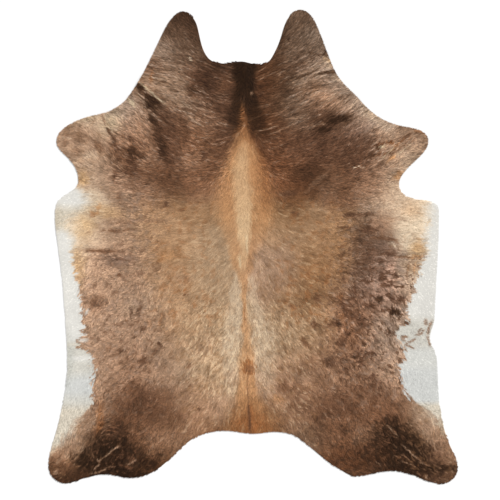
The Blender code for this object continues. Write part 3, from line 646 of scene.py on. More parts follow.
# Fine wrinkles: start, bend and end as x and y, rise, half width
WRINKLES = {
    "left prong": [
        ((-395, 905), (-330, 895), (-245, 892), 1.6, 13), ((-425, 868), (-330, 862), (-240, 850), 1.8, 13),
        ((-440, 833), (-370, 822), (-300, 800), 1.8, 14)],
    "left neck and withers": [
        ((-350, 720), (-285, 672), (-205, 640), 1.6, 14), ((-330, 655), (-285, 625), (-225, 590), 1.4, 13),
        ((-300, 600), (-255, 562), (-210, 548), 1.2, 12), ((-300, 505), (-240, 494), (-150, 490), 1.2, 12)],
    "left foreleg and chest": [
        ((-684, 596), (-668, 570), (-662, 530), 2.0, 11), ((-660, 530), (-640, 500), (-610, 440), 1.8, 14),
        ((-560, 500), (-525, 470), (-470, 440), 1.6, 13), ((-640, 345), (-610, 310), (-560, 300), 1.4, 13)],
    "right neck and withers": [
        ((235, 890), (280, 872), (335, 868), 1.6, 12), ((165, 768), (235, 788), (300, 830), 2.0, 14),
        ((130, 742), (185, 742), (240, 764), 1.6, 12), ((130, 640), (185, 656), (245, 694), 1.6, 13),
        ((150, 572), (210, 582), (290, 610), 1.6, 13), ((10, 522), (110, 535), (215, 575), 1.4, 12)],
    "right shoulder and foreleg": [
        ((240, 526), (300, 556), (400, 560), 1.8, 14), ((400, 600), (440, 630), (470, 680), 1.6, 13),
        ((560, 440), (630, 470), (700, 500), 1.4, 13)],
    "right back": [
        ((235, 245), (290, 300), (350, 345), 1.4, 16)],
    "belly and flank": [
        ((-770, -12), (-690, -16), (-590, -26), -1.6, 11), ((-760, 8), (-690, 4), (-600, -4), 1.8, 12),
        ((610, -40), (700, -46), (805, -42), -1.6, 11), ((620, -18), (710, -22), (800, -20), 1.8, 12),
        ((-700, 78), (-620, 74), (-520, 72), 1.0, 12)],
    "left shank": [
        ((-598, -890), (-635, -915), (-674, -950), 1.4, 8),
        ((-730, -1005), (-700, -985), (-680, -960), 1.2, 8),
        ((-735, -1024), (-690, -1010), (-650, -990), 1.2, 8),
        ((-650, -810), (-668, -828), (-684, -845), 1.0, 8)],
    "right shank": [
        ((600, -810), (625, -830), (658, -852), 1.2, 8), ((680, -893), (710, -925), (750, -957), 1.4, 8),
        ((658, -928), (690, -945), (718, -974), 1.2, 8), ((726, -933), (762, -965), (804, -992), 1.2, 8)],
}


def rows(table):
    """The rows of all the groups of a table, in order."""
    return [row for group in table.values() for row in group]


def scatter(ix, iy, seed):
    """A hashed value in -1 to 1 for each lattice point."""
    h = (ix.astype(np.int64) * 374761393 + iy.astype(np.int64) * 668265263 + seed * 974711) & 0xFFFFFFFF
    h = ((h ^ (h >> 13)) * 1274126177) & 0xFFFFFFFF
    h = ((h ^ (h >> 16)) * 2246822519) & 0xFFFFFFFF
    h = h ^ (h >> 15)
    return (h & 0xFFFFFF) / 8388607.5 - 1.0


def smooth(t):
    """A soft step: smooth((v - a) / b) rises from 0 at a to 1 at a + b."""
    t = np.clip(t, 0.0, 1.0)
    return t * t * (3.0 - 2.0 * t)


def between(corner, fx, fy):
    """The value between four corners, where corner(i, j) is the one i to the right and j up."""
    low = corner(0, 0) * (1 - fx) + corner(1, 0) * fx
    high = corner(0, 1) * (1 - fx) + corner(1, 1) * fx
    return low * (1 - fy) + high * fy


def noise(x, y, cell, seed):
    """Soft noise in -1 to 1 with one value for each cell; each use has its own seed."""
    gx, gy = x / cell, y / cell
    ix, iy = np.floor(gx), np.floor(gy)
    return between(lambda i, j: scatter(ix + i, iy + j, seed), smooth(gx - ix), smooth(gy - iy))


def combed(x, y, dx, dy, cell, reach, seed, spread=1.0, steps=9):
    """Noise drawn out along the lie of the hair, divided by its own spread."""
    total = np.zeros_like(x)
    for t in np.linspace(-reach, reach, steps):
        total = total + noise(x + t * dx, y + t * dy, cell, seed)
    return total / steps / spread


def unit(degrees):
    return math.cos(math.radians(degrees)), math.sin(math.radians(degrees))


def lie(x, y):
    """Direction of the hair as a unit vector."""
    off = x - BACK_LINE
    side = np.where(off < 0, -1.0, 1.0)
    away = np.abs(off)
    sx = np.zeros_like(x)
    sy = np.zeros_like(x)
    for px, py, angle in rows(LIE):
        w = 1.0 / (((away - px) ** 2 + (y - py) ** 2) / LIE_REACH ** 2 + 0.35) ** 2
        c, s = unit(angle)
        sx += w * c
        sy += w * s
    sx *= np.minimum(1.0, away / 25.0) * side
    length = np.maximum(np.hypot(sx, sy), 1e-9)
    sx, sy = sx / length, sy / length
    loose = 0.5 + 0.5 * smooth((away - 130) / 240) * smooth((300 - y) / 300)
    loose -= 0.3 * smooth((y - 300) / 100) * (1 - smooth((away - 320) / 200))
    curls = 22 * noise(x, y, 70, 103) + 20 * noise(x, y, 26, 104) + 26 * noise(x, y, 13, 105)
    turn = np.radians(loose * curls)
    c, s = np.cos(turn), np.sin(turn)
    return sx * c - sy * s, sx * s + sy * c


def sleekness(x, y):
    """How smooth the coat lies: 1 on the back and the spine, less on chest, legs and shanks, 0 elsewhere."""
    away = np.abs(x - BACK_LINE)
    back = (1 - smooth((y - 120) / 250)) * (1 - smooth((away - 260) / 220))
    spine = smooth((95 - away) / 70) * smooth((560 - y) / 90)
    chest = 0.8 * smooth((away - 540) / 110) * smooth((200 - np.abs(y - 130)) / 90)
    leg = np.where(x < 0, 0.6, 0.25) * smooth((away - 560) / 110) * smooth((y - 220) / 90)
    shank = 0.9 * smooth((away - 660) / 90) * smooth((-650 - y) / 80)
    return np.maximum.reduce([back, spine, chest, leg, shank])


def tone(name, depth=1.0):
    return np.array(PALETTE[name], dtype=float) * depth


def brightness(colour):
    return colour.mean(axis=1)


def blend(colour, target, mask):
    return colour + (target - colour) * mask[:, None]


def mark_mask(x, y, px, py, along, across, heading, edge, frayed):
    """1 in a turned ellipse, fading over its frayed edge."""
    mask = np.zeros_like(x)
    near = np.hypot(x - px, y - py) < MARK_REACH * max(along, across) + 14
    c, s = unit(heading)
    u = ((x[near] - px) * c + (y[near] - py) * s) / along
    v = (-(x[near] - px) * s + (y[near] - py) * c) / across
    mask[near] = 1 - smooth((np.hypot(u, v) + frayed[near] - 1) / (2 * edge) + 0.5)
    return mask


def paint_marks(colour, table, x, y, frayed):
    for px, py, along, across, heading, name, strength, edge in rows(table):
        mask = mark_mask(x, y, px, py, along, across, heading, edge, frayed) * strength
        colour = blend(colour, tone(name), mask)
    return colour


def bend_points(start, middle, end, count=17):
    """Points on a curve that passes through all three."""
    t = np.linspace(0.0, 1.0, count)[:, None]
    a, b, c = (np.array(p, dtype=float) for p in (start, middle, end))
    ctrl = 2 * b - (a + c) / 2
    return (1 - t) ** 2 * a + 2 * t * (1 - t) * ctrl + t ** 2 * c


def line_mask(x, y, start, middle, end, w0, w1):
    """1 on a curved line, fading to its sides and its ends."""
    pts = bend_points(start, middle, end)
    pad = 3 * max(w0, w1)
    near = ((x > pts[:, 0].min() - pad) & (x < pts[:, 0].max() + pad)
            & (y > pts[:, 1].min() - pad) & (y < pts[:, 1].max() + pad))
    mask = np.zeros_like(x)
    if not near.any():
        return mask
    qx, qy = x[near], y[near]
    best = np.full(qx.shape, 1e9)
    part = np.zeros(qx.shape)
    for i in range(len(pts) - 1):
        ax, ay = pts[i]
        bx, by = pts[i + 1] - pts[i]
        t = np.clip(((qx - ax) * bx + (qy - ay) * by) / (bx * bx + by * by), 0, 1)
        d = np.hypot(qx - ax - t * bx, qy - ay - t * by)
        closer = d < best
        best = np.where(closer, d, best)
        part = np.where(closer, (i + t) / (len(pts) - 1), part)
    width = w0 + (w1 - w0) * part
    taper = smooth(part * 6) * smooth((1 - part) * 6)
    mask[near] = np.exp(-(best / width) ** 2) * (0.3 + 0.7 * taper)
    return mask


def area_colour(x, y):
    """Colour and mottle of the broad areas, each weighed by how near it is."""
    colour = np.zeros((len(x), 3))
    mottle = np.zeros(len(x))
    weight = np.zeros(len(x))
    for px, py, rx, ry, name, depth, spread in rows(AREAS):
        w = np.exp(-0.5 * (((x - px) / rx) ** 2 + ((y - py) / ry) ** 2)) + 1e-12
        colour += w[:, None] * tone(name, depth)
        mottle += w * spread
        weight += w
    return colour / weight[:, None], mottle / weight


def band_mask(x, y, stations):
    """The strength of a band between its two edges."""
    table = np.array(sorted(stations))
    left, right, soft, strength = (np.interp(y, table[:, 0], table[:, k]) for k in (1, 2, 3, 4))
    inside = smooth((x - left) / (2 * soft) + 0.5) * smooth((right - x) / (2 * soft) + 0.5)
    return inside * strength


def white_edge(x, y, dx, dy, runs, side):
    """Mask and colour of the white beyond an edge; side is -1 for the left and 1 for the right."""
    table = sorted((*place, *PALETTE[name]) for name, places in runs for place in places)
    table = np.array(table, dtype=float)
    edge, soft, *channels = (np.interp(y, table[:, 0], table[:, k]) for k in range(1, 6))
    ragged = 46.0 * combed(x, y, dx, dy, 6.0, 26, 91) + 6.0 * noise(x * 0.6, y, 20.0, 92)
    mask = smooth((side * (x - edge) + ragged) / (2 * soft) + 0.5)
    return mask, np.stack(channels, axis=1)


def ground(x, y, dx, dy):
    """Colour and mottle of the coat before its marks: the broad areas and the bands down the back."""
    colour, mottle = area_colour(x + 14 * noise(x, y, 85, 11) + 6 * noise(x, y, 30, 12),
                                 y + 14 * noise(x, y, 85, 13) + 6 * noise(x, y, 30, 14))
    bx = x + 6 * noise(x, y, 45, 21) + (18 - 11 * smooth((y - 480) / 60)) * combed(x, y, dx, dy, 6, 20, 22)
    for name, stations in BANDS.values():
        mask = band_mask(bx, y, stations)
        colour = blend(colour, tone(name), mask)
        mottle *= 1 - 0.60 * mask
    return colour, mottle


def coat_grain(x, y, sx, sy, dx, dy):
    """Streaks, ripples and curls of the hair, and the parts of the hide that show them."""
    sleek = sleekness(x, y)
    neck = smooth((y - 150) / 250) * (1 - sleek)
    flank = (1 - smooth((y - 150) / 250)) * (1 - sleek)
    shaggy = neck * smooth((y - 450) / 150) * (1 - 0.75 * smooth((y - 815) / 60))
    cropped = neck - shaggy
    short_streak = combed(x, y, dx, dy, 4.5, 11, 41, 0.20)
    long_streak = combed(x, y, dx, dy, 5.5, 22, 46, 0.155)
    fine_streak = combed(x, y, dx, dy, 4.4, 36, 47, 0.117, steps=17)
    long_streak = long_streak * (1 - 0.4 * shaggy) + 0.8 * shaggy * fine_streak
    shortness = np.maximum.reduce([sleek, 0.6 * flank, 0.85 * cropped])
    streak = long_streak + (short_streak - long_streak) * shortness
    ripple = combed(x, y, dx, dy, 9, 26, 42, 0.19)
    curl = noise(sx, sy, 12, 45) / 0.36
    frayed = 0.13 * streak + 0.10 * ripple + 0.10 * curl
    return SimpleNamespace(sleek=sleek, neck=neck, flank=flank, shaggy=shaggy, cropped=cropped, streak=streak,
                           fine_streak=fine_streak, ripple=ripple, curl=curl, frayed=frayed)


def relief_light(sx, sy, grain):
    """Light and dark of the hair, as a share of its colour."""
    blot = (noise(sx, sy, 34, 43) + 0.6 * noise(sx, sy, 17, 44)) / 0.42
    value = (0.048 - 0.004 * grain.sleek + 0.008 * grain.shaggy) * grain.streak
    value += (0.016 + 0.020 * grain.shaggy) * grain.ripple
    value += (0.010 + 0.055 * grain.flank + 0.022 * grain.cropped) * grain.curl
    value += (0.036 - 0.002 * grain.sleek - 0.008 * grain.cropped) * blot
    return value


def hair_tones(x, y, sx, sy, grain, bright):
    """Hairs of another colour: its name, where they grow and how strong they are."""
    shank = (1 - bright) * smooth((-740 - y) / 60)
    away = np.abs(x - BACK_LINE)
    dotted = smooth((away - 90) / 70) * (1 - smooth((away - 400) / 80))
    dotted = dotted * smooth((y + 420) / 100) * (1 - smooth((y - 190) / 70))
    dots = (noise(sx, sy, 22, 48) + 0.6 * noise(sx, sy, 10, 49)) / 0.42
    faded = 0.35 + 0.65 * bright
    streak, curl = grain.streak, grain.curl
    sleek, neck, flank, shaggy = grain.sleek, grain.neck, grain.flank, grain.shaggy
    return [
        ("russet", (dots - 0.5) / 1.6, 0.40 * dotted),
        ("sand", (streak - 0.7) / 1.5, 0.30 * sleek),
        ("dark ochre", (-streak - 0.7) / 1.5, 0.30 * sleek),
        ("dark ochre", (curl - 0.8) / 0.9, 0.30 * sleek),
        ("ash", (streak - 0.8) / 1.5, 0.36 * neck * faded),
        ("rose taupe", (streak - 0.8) / 1.5, 0.40 * flank * faded),
        ("rose taupe", (-curl - 0.8) / 1.0, 0.38 * flank * faded),
        ("umber", (-grain.ripple - 0.8) / 1.5, 0.24 * shaggy + 0.06 * grain.cropped + 0.20 * flank),
        ("umber", (-streak - 0.8) / 1.5, 0.18 * neck + 0.22 * flank),
        ("brown", (curl - 0.9) / 0.9, 0.65 * flank),
        ("pale taupe", (grain.fine_streak - 1.0) / 1.4, 0.50 * shaggy * bright),
        ("warm brown", (streak - 0.3) / 1.6, 0.50 * shank),
        ("mane", (-curl - 0.3) / 1.4, 0.40 * shank),
    ]


def paint(x, y):
    """Coat colour as 0 to 255 display values at points of the hide, in mm."""
    dx, dy = lie(x, y)
    sx = x + 5 * noise(x, y, 16, 31) + 3 * noise(x, y, 7, 32)
    sy = y + 5 * noise(x, y, 16, 33) + 3 * noise(x, y, 7, 34)
    grain = coat_grain(x, y, sx, sy, dx, dy)
    colour, mottle = ground(x, y, dx, dy)
    colour = paint_marks(colour, MARKS, sx, sy, grain.frayed)

    amount = np.clip(mottle, 0, 2)
    value = relief_light(sx, sy, grain)
    colour = colour * (1 + amount[:, None] * value[:, None] * np.array([1.0, 1.08, 1.15]))
    bright = smooth((brightness(colour) - 50) / 65)
    some = np.clip(amount, 0, 1.3)
    for name, grown, strength in hair_tones(x, y, sx, sy, grain, bright):
        colour = blend(colour, tone(name), some * smooth(grown) * strength)

    for runs, side in ((LEFT_WHITE, -1.0), (RIGHT_WHITE, 1.0)):
        mask, pale = white_edge(x, y, dx, dy, runs, side)
        clouds = 0.015 * noise(x, y, 60, 51) + 0.012 * noise(x, y, 28, 52)
        colour = blend(colour, pale * (1 + 0.006 * grain.streak + clouds)[:, None], mask)
    colour = paint_marks(colour, FLECKS, x, y, 0.5 * grain.frayed)
    lx = x + 3 * noise(x, y, 18, 61)
    ly = y + 3 * noise(x, y, 18, 62)
    for start, middle, end, w0, w1, name, strength in rows(LINES):
        mask = line_mask(lx, ly, start, middle, end, w0, w1) * strength
        colour = blend(colour, tone(name), mask)

    # Dark hair is a little deeper and warmer
    dark = 1 - smooth((brightness(colour) - 65) / 60)
    colour = colour * (1 - dark[:, None] * np.array([0.05, 0.085, 0.13]))
    return np.clip(colour, 0, 255)


def calmness(colour, sleek):
    """How flat and even the hair lies: 1 where it is white, about half where it is sleek."""
    return np.maximum(smooth((brightness(colour) - WHITE_FROM) / WHITE_RANGE), SLEEK_SHARE * sleek)


def top_faces(mesh):
    """The CAD sheet's upper surface: its corners in mm, shared between faces, and its faces."""
    numbers = {}
    corners = []
    index = []
    for vertex in mesh.vertices:
        place = tuple(round(c, 6) for c in vertex.co)
        if place not in numbers:
            numbers[place] = len(corners)
            corners.append(vertex.co * MM)
        index.append(numbers[place])
    faces = [tuple(index[i] for i in p.vertices) for p in mesh.polygons if p.normal.z > TOP_SLOPE]
    return corners, faces


def rim_loop(corners, faces):
    """The outline of the sheet, counter-clockwise, in mm."""
    used = {(a, b) for face in faces for a, b in zip(face, face[1:] + face[:1])}
    follows = {a: b for a, b in used if (b, a) not in used}
    start = min(follows)
    loop = [start]
    while follows[loop[-1]] != start:
        loop.append(follows[loop[-1]])
    return np.array([corners[i][:2] for i in loop])


def smooth_loop(loop, step):
    """The loop as a smooth closed curve with points at even steps."""
    points = []
    count = len(loop)
    for i in range(count):
        a, b, c, d = (loop[(i + k) % count] for k in (-1, 0, 1, 2))
        for t in np.linspace(0, 1, 6, endpoint=False):
            points.append(0.5 * (2 * b + (c - a) * t + (2 * a - 5 * b + 4 * c - d) * t ** 2
                                 + (3 * b - a - 3 * c + d) * t ** 3))
    closed = np.array(points + points[:1])
    run = np.concatenate([[0], np.cumsum(np.hypot(*np.diff(closed, axis=0).T))])
    places = np.linspace(0, run[-1], int(run[-1] / step), endpoint=False)
    return np.stack([np.interp(places, run, closed[:, k]) for k in (0, 1)], axis=1)


def inset(loop, distance):
    """The loop moved inwards."""
    ahead = np.roll(loop, -1, axis=0) - np.roll(loop, 1, axis=0)
    ahead /= np.hypot(ahead[:, 0], ahead[:, 1])[:, None]
    return loop + distance * np.stack([-ahead[:, 1], ahead[:, 0]], axis=1)


def edge_distance(x, y, loop):
    """Distance to the outline in mm, positive inside."""
    best = np.full(x.shape, 1e9)
    inside = np.zeros(x.shape, dtype=bool)
    ends = np.roll(loop, -1, axis=0)
    for (ax, ay), (bx, by) in zip(loop, ends):
        ex, ey = bx - ax, by - ay
        t = np.clip(((x - ax) * ex + (y - ay) * ey) / (ex * ex + ey * ey), 0, 1)
        best = np.minimum(best, (x - ax - t * ex) ** 2 + (y - ay - t * ey) ** 2)
        crosses = (ay > y) != (by > y)
        if ey != 0:
            inside ^= crosses & (x < ax + (y - ay) / ey * ex)
    return np.sqrt(best) * np.where(inside, 1.0, -1.0)


class Field:
    """Values on an even grid over the hide, read between the grid's points."""

    def __init__(self, loop):
        self.low = loop.min(axis=0) - FIELD_EDGE
        high = loop.max(axis=0) + FIELD_EDGE
        self.shape = tuple(int(v) + 2 for v in (high - self.low) / FIELD_CELL)
        gx = self.low[0] + FIELD_CELL * np.arange(self.shape[0])
        gy = self.low[1] + FIELD_CELL * np.arange(self.shape[1])
        self.x, self.y = (g.ravel() for g in np.meshgrid(gx, gy, indexing="ij"))

    def read(self, values, x, y):
        grid = values.reshape(self.shape)
        gx = np.clip((x - self.low[0]) / FIELD_CELL, 0, self.shape[0] - 1.001)
        gy = np.clip((y - self.low[1]) / FIELD_CELL, 0, self.shape[1] - 1.001)
        ix, iy = gx.astype(int), gy.astype(int)
        return between(lambda i, j: grid[ix + i, iy + j], gx - ix, gy - iy)

    def soften(self, values, known, passes):
        """Spreads known values outwards and softens them."""
        grid = np.where(known, values, 0.0).reshape(self.shape)
        weight = known.astype(float).reshape(self.shape)
        kept = grid / np.maximum(weight, 1e-9)
        for _ in range(passes):
            total, share = grid * 2, weight * 2
            for axis in (0, 1):
                for shift in (-1, 1):
                    total = total + np.roll(grid, shift, axis)
                    share = share + np.roll(weight, shift, axis)
            weight = np.minimum(share / 6, 1.0)
            grid = total / 6
        return np.where(weight > 1e-6, grid / np.maximum(weight, 1e-6), kept).ravel()


def lift_field(field, corners, faces, distance):
    """Height of the leather over the floor in mm, with the frame's folds and finer wrinkles."""
    tree = BVHTree.FromPolygons(corners, faces)
    down = Vector((0, 0, -1))
    height = np.zeros(len(field.x))
    known = distance > 0.5
    for i in np.nonzero(known)[0]:
        hit = tree.ray_cast(Vector((field.x[i], field.y[i], PROBE_HEIGHT)), down)[0]
        height[i] = hit.z - CAD_THICKNESS if hit else 0.0
    height = np.maximum(field.soften(height, known, passes=6), 0.0)
    for start, middle, end, rise, width in rows(WRINKLES):
        height += rise * line_mask(field.x, field.y, start, middle, end, width, width)
    height += 0.7 * (1 + noise(field.x, field.y, 120, 71)) + 0.35 * (1 + noise(field.x, field.y, 45, 72))
    return np.maximum(height - LEATHER_SINK, 0.0)


def staggered(low, high, spacing):
    """Points in staggered rows over a box."""
    points = []
    for k, y in enumerate(np.arange(low[1], high[1], spacing * ROW_SHARE)):
        xs = np.arange(low[0] + (k % 2) * spacing / 2, high[0], spacing)
        points.append(np.stack([xs, np.full(xs.shape, y)], axis=1))
    return np.concatenate(points)


def sheet_face(loop, inner):
    """Triangles over the loop and its inner points: points and faces, the loop's points first."""
    points = [Vector(p) for p in loop] + [Vector(p) for p in inner]
    count = len(loop)
    edges = [(i, (i + 1) % count) for i in range(count)]
    out, _, faces, _, _, _ = delaunay_2d_cdt(points, edges, [], 1, 1e-6)
    return np.array([tuple(p) for p in out]), np.array(faces)


def make_piece(name, points, faces, rounded):
    """An object of triangles, from points in mm."""
    mesh = bpy.data.meshes.new(name)
    verts = np.asarray(points / MM, dtype=np.float32)
    faces = np.asarray(faces, dtype=np.int32)
    mesh.vertices.add(len(verts))
    mesh.vertices.foreach_set("co", verts.ravel())
    mesh.loops.add(faces.size)
    mesh.loops.foreach_set("vertex_index", faces.ravel())
    mesh.polygons.add(len(faces))
    mesh.polygons.foreach_set("loop_start", np.arange(0, faces.size, 3, dtype=np.int32))
    mesh.update(calc_edges=True)
    mesh.validate()
    mesh.polygons.foreach_set("use_smooth", np.full(len(mesh.polygons), rounded))
    piece = bpy.data.objects.new(name, mesh)
    bpy.context.scene.collection.objects.link(piece)
    return piece


def linear(colour):
    """0 to 255 display values as linear light."""
    c = np.clip(colour / 255.0, 0, 1)
    return np.where(c <= 0.04045, c / 12.92, ((c + 0.055) / 1.055) ** 2.4)


def set_coat_colour(mesh, colour, calm):
    """The coat's colour at each point, with the strength of the hairs' relief as its fourth value."""
    layer = mesh.color_attributes.new("coat", "FLOAT_COLOR", "POINT")
    values = np.column_stack([colour, 1 - CALM_SHARE * calm])
    layer.data.foreach_set("color", values.astype(np.float32).ravel())


def set_uv(mesh, per_corner):
    layer = mesh.uv_layers.new(name="OFBake")
    layer.data.foreach_set("uv", np.asarray(per_corner, dtype=np.float32).ravel())


def skin_uv(loop, points, faces, upper_count, rim_count):
    """The top in the left half of the square, the underside in the right half, the rim along the top."""
    low, high = loop.min(axis=0), loop.max(axis=0)
    edge, half, tall, rim_low, rim_high = 0.005, 0.485, 0.96, 0.975, 0.995
    uv = ((points[:, :2] - low) / (high - low))[faces]
    uv[:upper_count, :, 0] = edge + half * uv[:upper_count, :, 0]
    uv[upper_count:, :, 0] = 0.5 + edge + half * uv[upper_count:, :, 0]
    uv[:, :, 1] = edge + tall * uv[:, :, 1]
    start = len(faces) - 2 * rim_count
    for i in range(rim_count):
        a, b = i / rim_count, (i + 1) / rim_count
        uv[start + 2 * i] = ((a, rim_high), (a, rim_low), (b, rim_low))
        uv[start + 2 * i + 1] = ((a, rim_high), (b, rim_low), (b, rim_high))
    return uv


def build_skin(loop, field, height):
    """The leather: a top with the undercoat, an underside and a cut rim."""
    edge = inset(loop, SKIN_INSET)
    depth = edge_distance(field.x, field.y, edge)

    def face(spacing, rise):
        inner = staggered(edge.min(axis=0), edge.max(axis=0), spacing)
        inner = inner[field.read(depth, inner[:, 0], inner[:, 1]) > spacing * RIM_SHARE]
        flat, faces = sheet_face(edge, inner)
        return np.column_stack([flat, field.read(height, flat[:, 0], flat[:, 1]) + rise]), faces

    top, upper = face(TOP_SPACING, SKIN_THICKNESS)
    low, lower = face(UNDERSIDE_SPACING, 0.0)
    count = len(edge)
    rim = []
    for i in range(count):
        j = (i + 1) % count
        rim.append((i, i + len(top), j + len(top)))
        rim.append((i, j + len(top), j))
    points = np.vstack([top, low])
    faces = np.vstack([upper, lower[:, ::-1] + len(top), np.array(rim)])
    piece = make_piece("hide_skin", points, faces, rounded=True)
    colour = paint(points[:, 0], points[:, 1])
    set_coat_colour(piece.data, linear(colour), calmness(colour, sleekness(points[:, 0], points[:, 1])))
    set_uv(piece.data, skin_uv(loop, points, faces, len(upper), count))
    piece.data.polygons.foreach_set("material_index", (np.arange(len(faces)) >= len(upper)).astype(np.int32))
    return piece


def lock_roots(loop, distance, field):
    """The cells and the places in mm where locks grow."""
    low, high = loop.min(axis=0), loop.max(axis=0)
    nx, ny = ((high - low) / LOCK_SPACING).astype(int) + 1
    ix, iy = (g.ravel() for g in np.meshgrid(np.arange(nx), np.arange(ny), indexing="ij"))
    x = low[0] + (ix + 0.5 * (iy % 2) + LOCK_JITTER * scatter(ix, iy, 101)) * LOCK_SPACING
    y = low[1] + (iy + LOCK_JITTER * scatter(ix, iy, 102)) * LOCK_SPACING
    keep = field.read(distance, x, y) > LOCK_MARGIN
    return ix[keep], iy[keep], x[keep], y[keep]


def lock_direction(x, y, chance):
    dx, dy = lie(x, y)
    turn = np.radians(16 * chance(105))
    return dx * np.cos(turn) - dy * np.sin(turn), dx * np.sin(turn) + dy * np.cos(turn)


def lock_length(x, y, dx, dy, neck, chance, field, distance):
    """Length of each lock, cut where it would reach too far past the rim."""
    length = LOCK_LENGTH + 8 * neck + 3 * chance(106) + 2 * noise(x, y, 60, 107)
    for _ in range(3):
        room = field.read(distance, x + dx * length, y + dy * length)
        over = np.maximum(-OVERHANG - room, 0)
        length = np.maximum(length - over * 1.02, SHORTEST_LOCK)
    return length


def lock_colour(x, y, dx, dy, length, neck, sleek, chance):
    """Colour of each lock from root to tip in linear light, and how calm the hair is there."""
    colour = paint(x + dx * length * 0.5, y + dy * length * 0.5)
    light_hair = smooth((chance(116) - 0.55) / 0.4) * (1 - sleek)
    colour = blend(colour, tone("ash"), 0.30 * neck * light_hair * smooth((brightness(colour) - 55) / 60))
    calm = calmness(colour, sleek)
    rough = 0.16 + 0.07 * neck + 0.09 * sleek * smooth((-80 - y) / 200) + 0.07 * smooth((-760 - y) / 80)
    value = 1 + (rough * chance(113) + 0.07 * chance(114) ** 3) * (1 - CALM_SHARE * calm)
    colour = colour * value[:, None] * COAT_GAIN
    # Each lock is darker at its root, as painted shade where the locks overlap, and a little lighter at its
    # tip.
    dark_along = np.array([0.76, 0.97, 0.97, 1.0, 1.12])
    pale_along = np.array([0.93, 1.0, 1.0, 1.0, 1.02])
    along = dark_along + (pale_along - dark_along) * calm[:, None]
    return linear(np.clip(colour[:, None, :] * along[:, :, None], 0, 255)), calm


def lock_points(x, y, dx, dy, length, calm, chance, field, height):
    """The five corners of each lock in mm: root, left side, right side, crest and tip."""
    sway = LOCK_SWAY * chance(111)
    width = LOCK_HALF_WIDTH + 0.6 * chance(108)
    mx = x + dx * length * LOCK_BEND - dy * sway
    my = y + dy * length * LOCK_BEND + dx * sway
    tx, ty = x + dx * length, y + dy * length
    tip_height = TIP_HEIGHT + 0.6 * chance(109) + 0.3 * noise(x, y, 20, 110)
    tip_height = tip_height * (1 - 0.82 * calm)
    base = SKIN_THICKNESS + 0.15 * calm
    root_z = field.read(height, x, y) + SKIN_THICKNESS - ROOT_SINK + 0.35 * calm
    short = np.clip(length / 12.0, 0.3, 1.0)
    side_z = field.read(height, mx, my) + base + 0.55 * tip_height * LOCK_BEND * short
    crest_z = side_z + (1.0 + 0.35 * chance(112)) * short * (1 - CALM_SHARE * calm)
    tip_z = field.read(height, tx, ty) + base + tip_height * short
    return np.stack([
        np.column_stack([x, y, root_z]),
        np.column_stack([mx - dy * width, my + dx * width, side_z]),
        np.column_stack([mx + dy * width, my - dx * width, side_z]),
        np.column_stack([mx, my, crest_z]),
        np.column_stack([tx, ty, tip_z]),
    ], axis=1)


def strand_places(count, chance):
    """Each corner's place for the hair material: across and along its lock, and the lock's own number."""
    places = np.empty((count, 5, 3))
    places[:, :, 0] = (0.0, -1.0, 1.0, 0.0, 0.0)
    places[:, :, 1] = (0.0, LOCK_BEND, LOCK_BEND, LOCK_BEND, 1.0)
    places[:, :, 2] = (chance(115) * 40)[:, None]
    return places


def build_coat(loop, field, height, distance):
    """The locks of hair, shared out over four pieces."""
    ix, iy, x, y = lock_roots(loop, distance, field)

    def chance(seed):
        return scatter(ix, iy, seed)

    dx, dy = lock_direction(x, y, chance)
    sleek = sleekness(x, y)
    neck = smooth((y - 150) / 200) * (1 - sleek)
    length = lock_length(x, y, dx, dy, neck, chance, field, distance)
    shades, calm = lock_colour(x, y, dx, dy, length, neck, sleek, chance)
    points = lock_points(x, y, dx, dy, length, calm, chance, field, height)
    strand = strand_places(len(x), chance)
    lock_faces = np.array([(0, 3, 1), (0, 2, 3), (4, 1, 3), (4, 3, 2), (0, 1, 2), (4, 2, 1)])
    low, high = loop.min(axis=0) - 6, loop.max(axis=0) + 6
    pieces = []
    for k in range(LOCK_SETS):
        pick = np.nonzero((ix + 2 * iy) % LOCK_SETS == k)[0]
        corners = points[pick].reshape(-1, 3)
        faces = (lock_faces[None] + 5 * np.arange(len(pick))[:, None, None]).reshape(-1, 3)
        piece = make_piece("coat_" + "abcd"[k], corners, faces, rounded=False)
        set_coat_colour(piece.data, shades[pick].reshape(-1, 3), np.repeat(calm[pick], 5))
        layer = piece.data.attributes.new("strand", "FLOAT_VECTOR", "POINT")
        layer.data.foreach_set("vector", strand[pick].astype(np.float32).ravel())
        set_uv(piece.data, (0.005 + 0.99 * (corners[:, :2] - low) / (high - low))[faces])
        pieces.append(piece)
    return pieces


def node_tree(name):
    material = bpy.data.materials.new(name)
    material.use_nodes = True
    tree = material.node_tree
    tree.nodes.clear()
    out = tree.nodes.new("ShaderNodeOutputMaterial")
    shader = tree.nodes.new("ShaderNodeBsdfPrincipled")
    tree.links.new(shader.outputs["BSDF"], out.inputs["Surface"])
    return material, tree, shader


def plug(tree, node, inputs):
    for key, value in inputs.items():
        if isinstance(value, bpy.types.NodeSocket):
            tree.links.new(value, node.inputs[key])
        else:
            node.inputs[key].default_value = value


def add(tree, kind, inputs, **settings):
    node = tree.nodes.new(kind)
    for key, value in settings.items():
        setattr(node, key, value)
    plug(tree, node, inputs)
    return node.outputs


def place_in_object(tree):
    return add(tree, "ShaderNodeTexCoord", {})["Object"]


def cloud(tree, place, scale, detail, roughness=0.5):
    inputs = {"Vector": place, "Scale": scale, "Detail": detail, "Roughness": roughness}
    return add(tree, "ShaderNodeTexNoise", inputs)


def vector(tree, operation, *values):
    return add(tree, "ShaderNodeVectorMath", dict(enumerate(values)), operation=operation)["Vector"]


def number(tree, operation, *values):
    return add(tree, "ShaderNodeMath", dict(enumerate(values)), operation=operation)["Value"]


